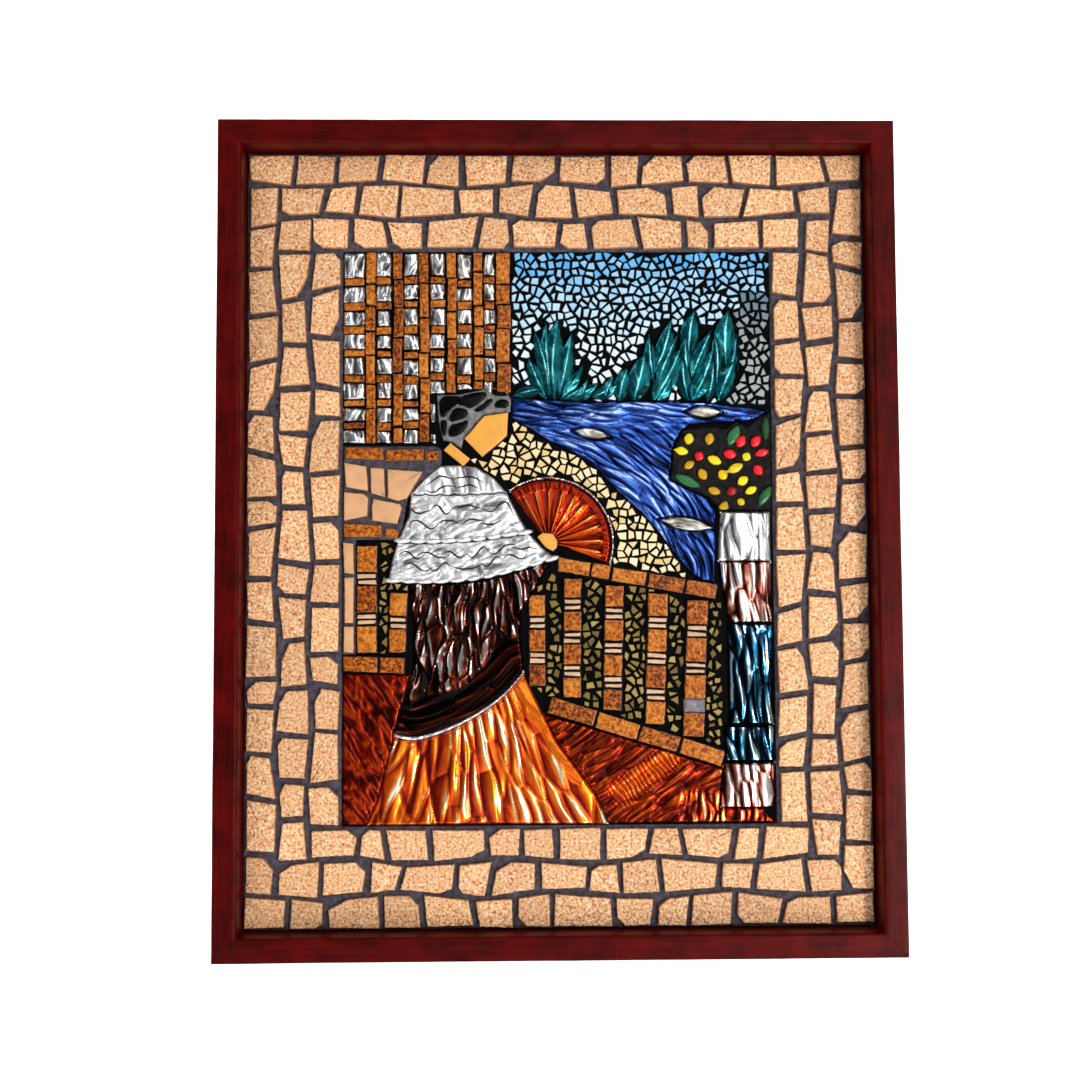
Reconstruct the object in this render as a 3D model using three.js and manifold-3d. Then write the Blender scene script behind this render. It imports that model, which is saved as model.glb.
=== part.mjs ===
// A framed mosaic panel that hangs on a wall: four mitred timber rails round a backing board, a border of
// broken floor tile in grey grout, and inside it a picture of chips, tile strips and embossed foil on a
// black ground. The picture is a garden terrace above a river, with a woman in a long skirt and a fan.
//
// Lengths are in millimetres. Every piece is drawn lying on its back: x runs to the right, y up the
// picture, and z out of the wall towards the viewer. The outer group stands the panel up, so that +Z is up
// and the picture faces -Y. The origin is the centre of the back, on the wall.

import * as THREE from "three";
import { mergeVertices } from "three/addons/utils/BufferGeometryUtils.js";
import Module from "manifold-3d";

const wasm = await Module();
wasm.setup();

// ---------------------------------------------------------------- driving dimensions

const PANEL = { width: 500, height: 613, depth: 38 };
const RAIL = { face: 18, innerArris: 2.5, outerArris: 1.2, rebateWidth: 6 };
const GAP = 0.3; // clearance between pieces that touch in the real panel
const BOARD_THICKNESS = 9;
const PICTURE = { left: -160.5, right: 160.5, bottom: -214, top: 214 };

// Heights above the wall of each kind of surface.
const LEVEL = {
  board: BOARD_THICKNESS + GAP,
  ground: 11.5,
  base: 11.5 + GAP,
  chips: 13,
  borderGrout: 13,
  borderTile: 17.5,
  grout: 13.6,
  sliver: 15.6,
  strip: 16.2,
  tile: 17,
};

const BORDER = {
  courses: 3,
  tileLength: 32,
  stagger: 5.5,
  joint: 4,
  wobble: 2.3,
  slant: 3,
  roughness: 1,
  clipChance: 0.5,
};

const OPENING = { x: PANEL.width / 2 - RAIL.face, y: PANEL.height / 2 - RAIL.face };

const COLOURS = {
  paint: { color: 0x5a120c, roughness: 0.35, metalness: 0 },
  board: { color: 0x9a7b52, roughness: 0.85, metalness: 0 },
  borderTile: { color: 0xdcae7e, roughness: 0.6, metalness: 0 },
  ground: { color: 0x0b0b0d, roughness: 0.8, metalness: 0 },
  sky: { color: 0xa9d4ea, roughness: 0.4, metalness: 0 },
  sand: { color: 0xf0d79c, roughness: 0.5, metalness: 0 },
  garden: { color: 0x8c7a3a, roughness: 0.5, metalness: 0 },
  mottled: { color: 0xa8601f, roughness: 0.35, metalness: 0 },
  wall: { color: 0xdcb98c, roughness: 0.6, metalness: 0 },
  ochre: { color: 0xf0b04a, roughness: 0.5, metalness: 0 },
  hair: { color: 0x101012, roughness: 0.25, metalness: 0 },
  flowers: { color: 0x45464a, roughness: 0.7, metalness: 0 },
  silver: { color: 0xdcdcdc, roughness: 0.3, metalness: 1 },
  blue: { color: 0x2a4f9c, roughness: 0.3, metalness: 1 },
  green: { color: 0x0c6a58, roughness: 0.3, metalness: 1 },
  darkBrown: { color: 0x3a140b, roughness: 0.25, metalness: 1 },
  orange: { color: 0xdf7a12, roughness: 0.3, metalness: 1 },
  rust: { color: 0x8a3208, roughness: 0.35, metalness: 1 },
  copper: { color: 0x9a6654, roughness: 0.3, metalness: 1 },
  teal: { color: 0x0f4e68, roughness: 0.3, metalness: 1 },
};

// ---------------------------------------------------------------- small tools

// Numbers from 0 to 1 that are the same on every run.
function dice(seed) {
  let state = seed;
  return () => {
    state = (state + 0x6d2b79f5) | 0;
    let mixed = Math.imul(state ^ (state >>> 15), 1 | state);
    mixed = (mixed + Math.imul(mixed ^ (mixed >>> 7), 61 | mixed)) ^ mixed;
    return ((mixed ^ (mixed >>> 14)) >>> 0) / 4294967296;
  };
}

const mix = (a, b, t) => a + (b - a) * t;
const mixPoints = (p, q, t) => [mix(p[0], q[0], t), mix(p[1], q[1], t)];
const spread = (roll, size) => (roll() * 2 - 1) * size;

function rectangle(left, bottom, right, top) {
  return [[left, bottom], [right, bottom], [right, top], [left, top]];
}

// A smooth line through a few points, with this many steps from each point to the next.
function flowing(points, steps = 3) {
  const knots = points.map(([x, y]) => new THREE.Vector3(x, y, 0));
  const curve = new THREE.CatmullRomCurve3(knots, false, "centripetal");
  return curve.getPoints((points.length - 1) * steps).map((p) => [p.x, p.y]);
}

// Points at equal steps along a line of points.
function along(points, count) {
  const path = new THREE.CurvePath();
  for (let i = 1; i < points.length; i++)
    path.add(new THREE.LineCurve(new THREE.Vector2(...points[i - 1]), new THREE.Vector2(...points[i])));
  return path.getSpacedPoints(count).map((p) => [p.x, p.y]);
}

// An outline moved outwards by a distance, with its sharp corners kept short.
function grown(outline, distance) {
  const way = THREE.ShapeUtils.area(outline.map(([x, y]) => ({ x, y }))) > 0 ? 1 : -1;
  return outline.map((here, i) => {
    const before = outline[(i + outline.length - 1) % outline.length];
    const after = outline[(i + 1) % outline.length];
    const a = new THREE.Vector2(here[0] - before[0], here[1] - before[1]).normalize();
    const b = new THREE.Vector2(after[0] - here[0], after[1] - here[1]).normalize();
    const out = new THREE.Vector2(a.y + b.y, -a.x - b.x).normalize();
    const reach = (way * distance) / Math.max(0.45, out.dot(new THREE.Vector2(a.y, -a.x)));
    return [here[0] + out.x * reach, here[1] + out.y * reach];
  });
}

// ---------------------------------------------------------------- solids

function toSolid(geometry) {
  const bare = geometry.index ? geometry.toNonIndexed() : geometry.clone();
  bare.deleteAttribute("normal");
  bare.deleteAttribute("uv");
  const merged = mergeVertices(bare, 1e-4);
  return new wasm.Manifold(
    new wasm.Mesh({
      numProp: 3,
      vertProperties: merged.attributes.position.array,
      triVerts: new Uint32Array(merged.index.array),
    }),
  );
}

function toGeometry(solid) {
  const mesh = solid.getMesh();
  return new THREE.BufferGeometry()
    .setAttribute("position", new THREE.BufferAttribute(Float32Array.from(mesh.vertProperties), 3))
    .setIndex(new THREE.BufferAttribute(Uint32Array.from(mesh.triVerts), 1));
}

function shapeOf(outline) {
  return new THREE.Shape(outline.map(([x, y]) => new THREE.Vector2(x, y)));
}

// A flat plate with this outline, from one height above the wall to another.
function plate(outline, low, high) {
  const geometry = new THREE.ExtrudeGeometry(shapeOf(outline), { depth: high - low, bevelEnabled: false });
  return toSolid(geometry.translate(0, 0, low));
}

const join = (solids) => solids.reduce((whole, one) => whole.add(one));

// The bodies left of a solid, largest first, once each neighbour's outline and its clearance are cut out.
function clearings(solid, outlines, clearance = GAP) {
  const reach = PANEL.depth + 1;
  const rest = outlines.reduce((left, o) => left.subtract(plate(grown(o, clearance), -1, reach)), solid);
  return rest.decompose().sort((a, b) => b.volume() - a.volume());
}

const clearOf = (solid, outlines, clearance) => clearings(solid, outlines, clearance)[0];

// An embossed sheet laid over some lines of the same number of points, the farthest line first. rise(u, v) is
// the height above the base, with u across the sheet and v from the first line to the last, both 0 to 1.
function embossed(lines, rowsEach, rise, base = LEVEL.base) {
  const columns = lines[0].length - 1;
  const rows = (lines.length - 1) * rowsEach;
  const rim = [];
  const top = [];
  for (let r = 0; r <= rows; r++)
    for (let c = 0; c <= columns; c++) {
      const line = Math.min(Math.floor(r / rowsEach), lines.length - 2);
      const [x, y] = mixPoints(lines[line][c], lines[line + 1][c], r / rowsEach - line);
      top.push([x, y, base + rise(c / columns, r / rows)]);
    }
  const count = top.length;
  const points = top.concat(top.map(([x, y]) => [x, y, base]));
  const at = (r, c) => r * (columns + 1) + c;
  for (let c = 0; c < columns; c++) rim.push(at(0, c));
  for (let r = 0; r < rows; r++) rim.push(at(r, columns));
  for (let c = columns; c > 0; c--) rim.push(at(rows, c));
  for (let r = rows; r > 0; r--) rim.push(at(r, 0));
  const faces = [];
  for (let r = 0; r < rows; r++)
    for (let c = 0; c < columns; c++) {
      const square = [[at(r, c), at(r + 1, c), at(r + 1, c + 1)], [at(r, c), at(r + 1, c + 1), at(r, c + 1)]];
      faces.push(...square, ...square.map((face) => face.map((i) => i + count).reverse()));
    }
  rim.forEach((i, k) => {
    const next = rim[(k + 1) % rim.length];
    faces.push([i, next, next + count], [i, next + count, i + count]);
  });
  const wound = (list) =>
    toSolid(
      new THREE.BufferGeometry()
        .setAttribute("position", new THREE.Float32BufferAttribute(points.flat(), 3))
        .setIndex(list.flat()),
    );
  const solid = wound(faces);
  return (solid.volume() > 0 ? solid : wound(faces.map((face) => face.reverse()))).simplify(1e-3);
}

// The outline of a sheet laid over some lines.
function outlineOf(lines) {
  const inner = lines.slice(1, -1);
  const right = inner.map((line) => line[line.length - 1]);
  const left = inner.map((line) => line[0]).reverse();
  return [...lines[0], ...right, ...lines[lines.length - 1].slice().reverse(), ...left];
}

// Folds that run down a sheet: sharp ridges, each swelling and thinning a little on its way.
function folds(count, low, high) {
  return (u, v) => {
    const wave = Math.abs(((u * count) % 1) - 0.5) * 2;
    const swell = 0.75 + 0.25 * Math.sin(v * 9 + Math.floor(u * count) * 2.1);
    return mix(low, high, wave * swell);
  };
}

// ---------------------------------------------------------------- the panel's pieces, by name

const panel = new THREE.Group();

function add(name, solid, look) {
  const material = new THREE.MeshStandardMaterial({ ...COLOURS[look], flatShading: true });
  const mesh = new THREE.Mesh(toGeometry(solid), material);
  mesh.name = name;
  panel.add(mesh);
}

// ---------------------------------------------------------------- frame and board

// One rail lies along x with its inner edge on the line y = 0. Its back corner is rebated for the board.
function railSolid(length) {
  const { face, innerArris, outerArris, rebateWidth } = RAIL;
  const section = new THREE.Shape()
    .moveTo(0, LEVEL.board)
    .lineTo(rebateWidth, LEVEL.board)
    .lineTo(rebateWidth, 0)
    .lineTo(face, 0)
    .lineTo(face, PANEL.depth - outerArris)
    .absarc(face - outerArris, PANEL.depth - outerArris, outerArris, 0, Math.PI / 2, false)
    .lineTo(innerArris, PANEL.depth)
    .absarc(innerArris, PANEL.depth - innerArris, innerArris, Math.PI / 2, Math.PI, false);
  const bar = new THREE.ExtrudeGeometry(section, { depth: length, curveSegments: 4, bevelEnabled: false });
  // The section's own x and y become the panel's y and z, and the bar's length becomes its x.
  const turn = new THREE.Matrix4().makeBasis(
    new THREE.Vector3(0, 1, 0),
    new THREE.Vector3(0, 0, 1),
    new THREE.Vector3(1, 0, 0),
  );
  const whole = toSolid(bar.applyMatrix4(turn).translate(-length / 2, 0, 0));
  const inner = length / 2 - face - GAP / 2;
  const outer = length / 2 - GAP / 2;
  const mitred = [[-inner, 0], [inner, 0], [outer, face], [-outer, face]];
  return whole.intersect(plate(mitred, -1, PANEL.depth + 1));
}

function addFrame() {
  const sides = [
    ["frame_rail_top", PANEL.width, 0, OPENING.y],
    ["frame_rail_right", PANEL.height, -90, OPENING.x],
    ["frame_rail_bottom", PANEL.width, 180, OPENING.y],
    ["frame_rail_left", PANEL.height, 90, OPENING.x],
  ];
  for (const [name, length, angle, reach] of sides)
    add(name, railSolid(length).translate([0, reach, 0]).rotate([0, 0, angle]), "paint");
  const x = OPENING.x + RAIL.rebateWidth - GAP;
  const y = OPENING.y + RAIL.rebateWidth - GAP;
  add("backing_board", plate(rectangle(-x, -y, x, y), 0, BOARD_THICKNESS), "board");
}

// ---------------------------------------------------------------- border of broken tile

// The tiles of one course. s runs along the side and v from the frame in towards the picture.
function courseTiles(start, end, outerLine, innerLine, roll) {
  const count = Math.round((end - start) / BORDER.tileLength);
  const cuts = [];
  for (let i = 0; i <= count; i++) {
    const even = mix(start, end, i / count);
    const loose = i > 0 && i < count ? 1 : 0;
    const s = even + loose * spread(roll, BORDER.stagger);
    cuts.push([s + loose * spread(roll, BORDER.slant), s + loose * spread(roll, BORDER.slant)]);
  }
  const half = BORDER.joint / 2;
  const tiles = [];
  for (let i = 0; i < count; i++) {
    const [a, b] = [cuts[i], cuts[i + 1]];
    const rough = () => spread(roll, BORDER.roughness);
    let tile = [
      [a[0] + half + rough(), outerLine(a[0]) + half + rough()],
      [b[0] - half + rough(), outerLine(b[0]) + half + rough()],
      [b[1] - half + rough(), innerLine(b[1]) - half + rough()],
      [a[1] + half + rough(), innerLine(a[1]) - half + rough()],
    ];
    if (roll() < BORDER.clipChance) tile = clipped(tile, Math.floor(roll() * 4), mix(0.2, 0.42, roll()));
    tiles.push(tile);
  }
  return tiles;
}

// A tile with one corner knocked off.
function clipped(tile, corner, share) {
  const before = tile[(corner + tile.length - 1) % tile.length];
  const after = tile[(corner + 1) % tile.length];
  const cut = [mixPoints(tile[corner], before, share), mixPoints(tile[corner], after, share * 0.8)];
  return [...tile.slice(0, corner), ...cut, ...tile.slice(corner + 1)];
}

function borderTiles() {
  const roll = dice(11);
  const field = { x: OPENING.x - GAP, y: OPENING.y - GAP };
  const tiles = [];
  const sides = [
    { long: field.x, deep: field.y, to: PICTURE.top, place: (s, v) => [s, field.y - v] },
    { long: field.x, deep: field.y, to: -PICTURE.bottom, place: (s, v) => [s, v - field.y] },
    { long: field.y, deep: field.x, to: PICTURE.right, place: (s, v) => [field.x - v, s] },
    { long: field.y, deep: field.x, to: -PICTURE.left, place: (s, v) => [v - field.x, s] },
  ];
  sides.forEach((side, k) => {
    const pitch = (side.deep - side.to) / BORDER.courses;
    const otherPitch = (k < 2 ? field.x - PICTURE.right : field.y - PICTURE.top) / BORDER.courses;
    const phase = roll() * 6;
    const line = (n) => (s) => {
      const free = n > 0 && n < BORDER.courses ? 1 : 0;
      return n * pitch + free * BORDER.wobble * Math.sin(s / 19 + phase + n * 2.3);
    };
    for (let n = 0; n < BORDER.courses; n++) {
      // The courses across the top and bottom take the corners, and those up the sides stop at them.
      const reach = side.long - otherPitch * (k < 2 ? n : n + 1);
      for (const tile of courseTiles(-reach, reach, line(n), line(n + 1), roll))
        tiles.push(tile.map(([s, v]) => side.place(s, v)));
    }
  });
  return tiles;
}

function addBorder() {
  const x = OPENING.x - GAP;
  const y = OPENING.y - GAP;
  const bed = plate(rectangle(-x, -y, x, y), LEVEL.board, LEVEL.borderGrout);
  const window = plate(rectangle(PICTURE.left, PICTURE.bottom, PICTURE.right, PICTURE.top), 0, PANEL.depth);
  const tiles = borderTiles().map((tile) => plate(tile, LEVEL.board + 1, LEVEL.borderTile));
  add("border_mosaic", join([bed, ...tiles]).subtract(window), "borderTile");
}

function addGround() {
  const { left, right, bottom, top } = PICTURE;
  const ground = rectangle(left + GAP, bottom + GAP, right - GAP, top - GAP);
  add("picture_ground", plate(ground, LEVEL.board, LEVEL.ground), "ground");
}

// ---------------------------------------------------------------- outlines of the picture
// Each is a few points chosen by hand, in the panel's own frame.

const FACE = [[-69.5, 72], [-55, 89], [-37, 91.5], [-38, 74.5], [-44, 69], [-56.5, 58.5]];
const NECK = [[-85, 63.5], [-80, 69], [-65.5, 57], [-70.5, 51.5]];
const HAIR = [
  [-90, 105], [-74, 105.5], [-62, 108], [-49, 111.5], [-38, 109], [-34.8, 101], [-35.6, 92.3], [-55.5, 90],
  [-70.5, 72.2], [-72, 65], [-79.6, 70.3], [-85.5, 71], [-89, 86],
];
// Its locks are glossy tile pieces with pale lines of the bed between them.
const LOCKS = [
  [[-89, 104], [-73.5, 104.5], [-72, 102.5], [-78.5, 97.5], [-83, 89], [-88, 88]],
  [[-71, 104.5], [-61.5, 107], [-54, 107.5], [-52.5, 104], [-58, 99], [-65.5, 94.5], [-69, 97], [-75, 97.5]],
  [[-81, 89.5], [-76.5, 95.5], [-70, 95.3], [-66.5, 92.5], [-67.5, 88.5], [-74, 86], [-80.5, 84.5]],
  [[-63.5, 93.5], [-56.5, 97.5], [-51, 102.5], [-47, 101.5], [-53, 95.5], [-59, 91.8]],
  [[-49.5, 110], [-39.5, 108], [-36.6, 104], [-49, 104.6]],
  [[-44.5, 101.8], [-36.5, 101.5], [-36.4, 95], [-48.5, 95.4]],
  [[-80.5, 82.5], [-73.5, 84], [-66.5, 86.6], [-67, 82], [-71.5, 76], [-77, 73.5], [-82, 74]],
  [[-88, 86], [-83, 86.5], [-82.3, 82], [-84, 72.6], [-87, 77]],
];

const FAN = { x: -7.5, y: -5.5, radius: 47, from: -20, to: 127, rim: 2.4, ribs: 10 };
const FAN_HUB = [
  [-15.8, -1.5], [-11.5, 1.6], [-4, 0.8], [-0.8, -4.6], [-1.4, -9.6], [-4, -12.2], [-9.5, -9.2],
];

function fanPoint(radius, share) {
  const angle = THREE.MathUtils.degToRad(mix(FAN.from, FAN.to, share));
  return [FAN.x + radius * Math.cos(angle), FAN.y + radius * Math.sin(angle)];
}

function fanArc(radius, steps) {
  return Array.from({ length: steps + 1 }, (_, i) => fanPoint(radius, i / steps));
}

// The blouse has three tiers, each with a scalloped lower edge, and a line halfway down gives each its sides.
const SCALLOP = { pitch: 11, depth: 1.3 };
const HEM_STEPS = 20;

function hem(from, to, sag, scallop = SCALLOP.depth) {
  return Array.from({ length: HEM_STEPS + 1 }, (_, i) => {
    const [x, y] = mixPoints(from, to, i / HEM_STEPS);
    const wave = scallop * Math.abs(Math.sin((Math.PI * (x - from[0])) / SCALLOP.pitch));
    return [x, y - sag * Math.sin((Math.PI * i) / HEM_STEPS) - wave];
  });
}

const BLOUSE_TIERS = {
  yoke: [
    hem([-88, 52], [-61, 51], -1, 0),
    hem([-99.5, 42.5], [-47.5, 42.5], 0, 0),
    hem([-109.5, 31.5], [-38, 33], 1),
  ],
  middle_flounce: [
    hem([-109.5, 31], [-38, 32.5], 1),
    hem([-111.5, 14], [-29.5, 15], 2, 0.6),
    hem([-119.5, -4], [-22, 2.5], 3),
  ],
  lower_flounce: [
    hem([-119.5, -4.5], [-22, 2], 3),
    hem([-123.5, -18], [-12.5, -8.5], 6, 0.6),
    hem([-126.5, -33.5], [-1.8, -16.5], 7.5),
  ],
};

// The dark skirt runs from the blouse's hem down to a silver trim, and the orange skirt on to the floor.
const TRIM_WIDTH = 3;
const SKIRT_TRIM = along(
  flowing([[-122, -146], [-108, -148.5], [-85, -142.5], [-62, -131.5], [-42, -117.5], [-26, -100]], 4),
  HEM_STEPS,
);
const DARK_SKIRT_LINES = [
  BLOUSE_TIERS.lower_flounce[2].map(([x, y]) => [mix(-111.5, -4.5, (x + 126.5) / 124.7), y - 0.7]),
  along([[-107.5, -66], [-28, -57]], HEM_STEPS),
  along([[-108, -98], [-28.5, -76]], HEM_STEPS),
  SKIRT_TRIM.map(([x, y]) => [x, y + 0.3]),
];
const PLEAT_STEPS = 32;
const ORANGE_SKIRT_LINES = [
  along(SKIRT_TRIM.map(([x, y]) => [x, y - TRIM_WIDTH - 0.3]), PLEAT_STEPS),
  along([[-127.5, -171], [-2, -153]], PLEAT_STEPS),
  along([[-134, -196], [26, -191]], PLEAT_STEPS),
  along([[-142, -213.3], [-50, -212.6], [36, -213.3]], PLEAT_STEPS),
];

const BALUSTRADE = {
  topY: -21.5,
  topFall: -0.18,
  topDepth: 10.5,
  lowY: -127.8,
  lowFall: -0.316,
  lowDepth: 11.5,
};
const topRailY = (x) => BALUSTRADE.topY + BALUSTRADE.topFall * x;
const lowRailY = (x) => BALUSTRADE.lowY + BALUSTRADE.lowFall * x;

const RIVER = [
  [-34.5, 103], [0, 102], [30, 99.5], [62, 101], [100, 100], [128, 97.5], [158, 93.5], [150, 87], [138, 84],
  [118, 84], [98, 82], [88, 70], [85, 50], [84, 42], [98, 34], [112, 28], [118.5, 18], [117.5, -10],
  [116.5, -37], [110, -37], [98, -28], [86, -13], [76, 0], [62, 17], [44, 33], [30, 49], [12, 62], [-8, 71],
  [-21, 80], [-34.5, 88],
];
const BOATS = [
  { name: "left", x: 25.5, y: 76, length: 30, width: 9, turn: -10 },
  { name: "far", x: 110, y: 92, length: 29, width: 9.5, turn: -2 },
  { name: "near", x: 96, y: 8, length: 43, width: 10.5, turn: -9 },
];

const FLOWER_BED = [
  [84.5, 42], [86, 52], [87, 64], [94, 78], [113, 81], [126, 79], [134, 85], [143, 80], [152, 88],
  [159.5, 91], [159.5, 18.5], [121, 18.5], [114, 28], [99, 34],
];

const COLUMN = [
  { name: "capital", look: "silver", top: [121, 158.5, 17], low: [119, 159, -20] },
  { name: "upper_copper", look: "copper", top: [119, 159, -20.6], low: [126.5, 159.5, -66] },
  { name: "upper_teal", look: "teal", top: [125.5, 159.5, -66.6], low: [126, 159.8, -141] },
  { name: "lower_teal", look: "teal", top: [122.5, 160, -141.6], low: [123, 160, -168] },
  { name: "foot", look: "copper", top: [122, 160, -168.6], low: [118.5, 160, -202] },
];
const COLUMN_OUTLINE = [
  [121, 17], [158.5, 17], [160, -20], [160, -202], [118.5, -202], [122, -168], [125.5, -66], [119, -20],
];

// Both floors run on under the skirt's edges, which cut them.
const FLOOR_LEFT = { far: [[-160, -102], [-108, -103]], near: [[-160, -213], [-136, -213]] };
const FLOOR_RIGHT = { far: [[-16, -131], [121, -170]], near: [[30, -213], [160, -213]] };

// A pointed oval with its long axis turned by some degrees, such as a petal, a leaf or a boat.
function pointedOval({ x, y, length, width, turn }, steps = 4) {
  const angle = THREE.MathUtils.degToRad(turn);
  const points = [];
  for (let i = 0; i < steps * 2; i++) {
    const side = i < steps ? 1 : -1;
    const share = (i % steps) / steps;
    const forward = side * (share - 0.5) * length;
    const out = -side * 0.5 * width * Math.sin(Math.PI * share) ** 0.8;
    points.push([
      x + forward * Math.cos(angle) - out * Math.sin(angle),
      y + forward * Math.sin(angle) + out * Math.cos(angle),
    ]);
  }
  return points;
}

// A straight-sided tile along a line, a little out of square.
function roughTile(from, to, width, roll, roughness = 0.5) {
  const way = new THREE.Vector2(to[0] - from[0], to[1] - from[1]).normalize();
  const out = [(-way.y * width) / 2, (way.x * width) / 2];
  const corner = ([x, y], side) => [
    x + side * out[0] + spread(roll, roughness),
    y + side * out[1] + spread(roll, roughness),
  ];
  return [corner(from, -1), corner(to, -1), corner(to, 1), corner(from, 1)];
}

// ---------------------------------------------------------------- window with its lattice

const WINDOW = { left: -160, right: -35, top: 213.3, low: 67.5, overHair: 105, step: -90.5 };
const LATTICE = {
  bars: 6,
  pitch: 20,
  barWidth: 7,
  lastBarWidth: 10.5,
  rows: 7,
  rowPitch: 18.2,
  rowWidth: 5.6,
};
const windowFloor = (x) => (x > WINDOW.step ? WINDOW.overHair : WINDOW.low);

function addWindow() {
  const { left, right, top, low, overHair, step } = WINDOW;
  const area = [[left, low], [step, low], [step, overHair], [right, overHair], [right, top], [left, top]];
  const foilTop = LEVEL.base + 0.7;
  add("window_foil", clearOf(plate(area, LEVEL.base, foilTop), [HAIR]), "silver");
  const start = foilTop + GAP;
  const strips = [];
  for (let i = 0; i < LATTICE.bars; i++) {
    const last = i === LATTICE.bars - 1;
    const x = left + LATTICE.pitch * (i + 1) + (last ? -0.4 : 0.5);
    const half = (last ? LATTICE.lastBarWidth : LATTICE.barWidth) / 2;
    strips.push(plate(rectangle(x - half, windowFloor(x) + 0.6, x + half, top - 0.8), start, LEVEL.strip));
  }
  for (let row = 0; row < LATTICE.rows; row++) {
    const y = top - 22.5 - LATTICE.rowPitch * row;
    const half = LATTICE.rowWidth / 2;
    const end = y - LATTICE.rowWidth > overHair ? right - 2 : left + LATTICE.pitch * 3;
    strips.push(plate(rectangle(left + 0.8, y - half, end, y + half), start, LEVEL.sliver));
  }
  add("window_lattice", clearOf(join(strips), [HAIR]), "mottled");
}

// ---------------------------------------------------------------- house wall beside the figure

function addWall() {
  const roll = dice(31);
  const stone = (left, low, right, high) => rectangle(left, low, right, high).map(([x, y]) => [
    x + spread(roll, 0.8),
    y + spread(roll, 0.8),
  ]);
  const bed = [
    [-160, -88], [-150.2, -88], [-150.2, -3], [-120, -3], [-116, 6], [-112, 28], [-102, 41], [-95, 46],
    [-86.8, 53.5], [-86.8, 64.5], [-91, 66.9], [-160, 66.9],
  ];
  const stones = [
    [[-159, 54.5], [-142.5, 51.5], [-141, 33], [-157.5, 36]],
    [[-139.5, 51], [-129.3, 49.8], [-128.5, 28.5], [-139, 31.5]],
    [[-127, 49.5], [-100.5, 47.5], [-112.5, 27.5], [-119, 25.5], [-126.5, 28]],
    [[-159, 32.5], [-144, 31], [-141, 28], [-141.5, 14.5], [-159, 11]],
    [[-137, 27.5], [-117.5, 23.5], [-116, 20], [-119.5, 8.5], [-138, 11], [-138.5, 22]],
    stone(-159, -28, -151.8, -5.5),
    stone(-158.8, -65, -151.5, -30.5),
    stone(-159.2, -86.5, -152, -67.5),
  ];
  const courses = [
    stone(-158.5, 57.3, -130, 66),
    stone(-128, 55.5, -100.5, 64),
    stone(-98, 56, -88.2, 63),
    stone(-159, -1.5, -131.5, 8),
    stone(-129, -2, -119.5, 5),
  ];
  const pieces = [
    ...stones.map((tile) => plate(tile, LEVEL.base, LEVEL.tile)),
    ...courses.map((tile) => plate(tile, LEVEL.base, LEVEL.strip)),
  ];
  const wall = join([plate(bed, LEVEL.base, LEVEL.grout), ...pieces]);
  add("wall_mosaic", clearOf(wall, [NECK, blouseOutline()]), "wall");
}

// ---------------------------------------------------------------- balustrade

// The adhesive shows a little past the edges of the tiles on it.
const BED_MARGIN = 0.6;
const SLIVER_PITCH = 4.5;
const HALF_JOINT = 0.55;

// A baluster is a stack of mottled blocks with a pair of pale slivers between each two.
function baluster(top, low, width, blocks, roll) {
  const height = Math.hypot(top[0] - low[0], top[1] - low[1]);
  const sliverShare = SLIVER_PITCH / height;
  const pairs = blocks - 1;
  const blockShare = (1 - 2 * sliverShare * pairs) / blocks;
  const marks = [];
  for (let i = 0, share = 0; i < blocks; i++) {
    marks.push({ from: share, to: share + blockShare, level: LEVEL.strip, width });
    share += blockShare;
    for (let k = 0; k < 2 && i < pairs; k++, share += sliverShare)
      marks.push({ from: share, to: share + sliverShare, level: LEVEL.sliver, width: width * 0.96 });
  }
  const joint = HALF_JOINT / height;
  const pieces = marks.map(({ from, to, level, width: wide }) => {
    const ends = [mixPoints(top, low, from + joint), mixPoints(top, low, to - joint)];
    return plate(roughTile(...ends, wide, roll, 0.35), LEVEL.base, level);
  });
  const bed = roughTile(top, low, width + BED_MARGIN * 2, roll, 0);
  return join([plate(bed, LEVEL.base, LEVEL.grout), ...pieces]);
}

const BALUSTERS = [
  { name: "left_1", top: [-142, -7], low: [-142, -87], width: 14.5, blocks: 3 },
  { name: "left_2", top: [-118.5, -42], low: [-119.5, -87], width: 12.5, blocks: 2 },
  ...[-16, 10.5, 41.5, 74, 103.5].map((x, i) => ({
    name: `right_${i + 1}`,
    top: [x, i ? topRailY(x) - BALUSTRADE.topDepth / 2 - 3.2 : -44],
    low: [x - i * 1.1, lowRailY(x) + BALUSTRADE.lowDepth / 2 + 4.8],
    width: 12 + i * 0.8,
    blocks: i ? 4 : 3,
  })),
];

// Tiles end to end along a sloping line, with a little grout under their joints.
function railOfTiles(cuts, yAt, width, roll) {
  const pieces = [];
  for (let i = 1; i < cuts.length; i++) {
    const [from, to] = [cuts[i - 1] + 1, cuts[i] - 1];
    pieces.push(plate(roughTile([from, yAt(from)], [to, yAt(to)], width, roll), LEVEL.base, LEVEL.strip));
  }
  const [from, to] = [cuts[0], cuts[cuts.length - 1]];
  const bed = roughTile([from, yAt(from)], [to, yAt(to)], width + BED_MARGIN * 2, roll, 0);
  return join([plate(bed, LEVEL.base, LEVEL.grout), ...pieces]);
}

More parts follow.
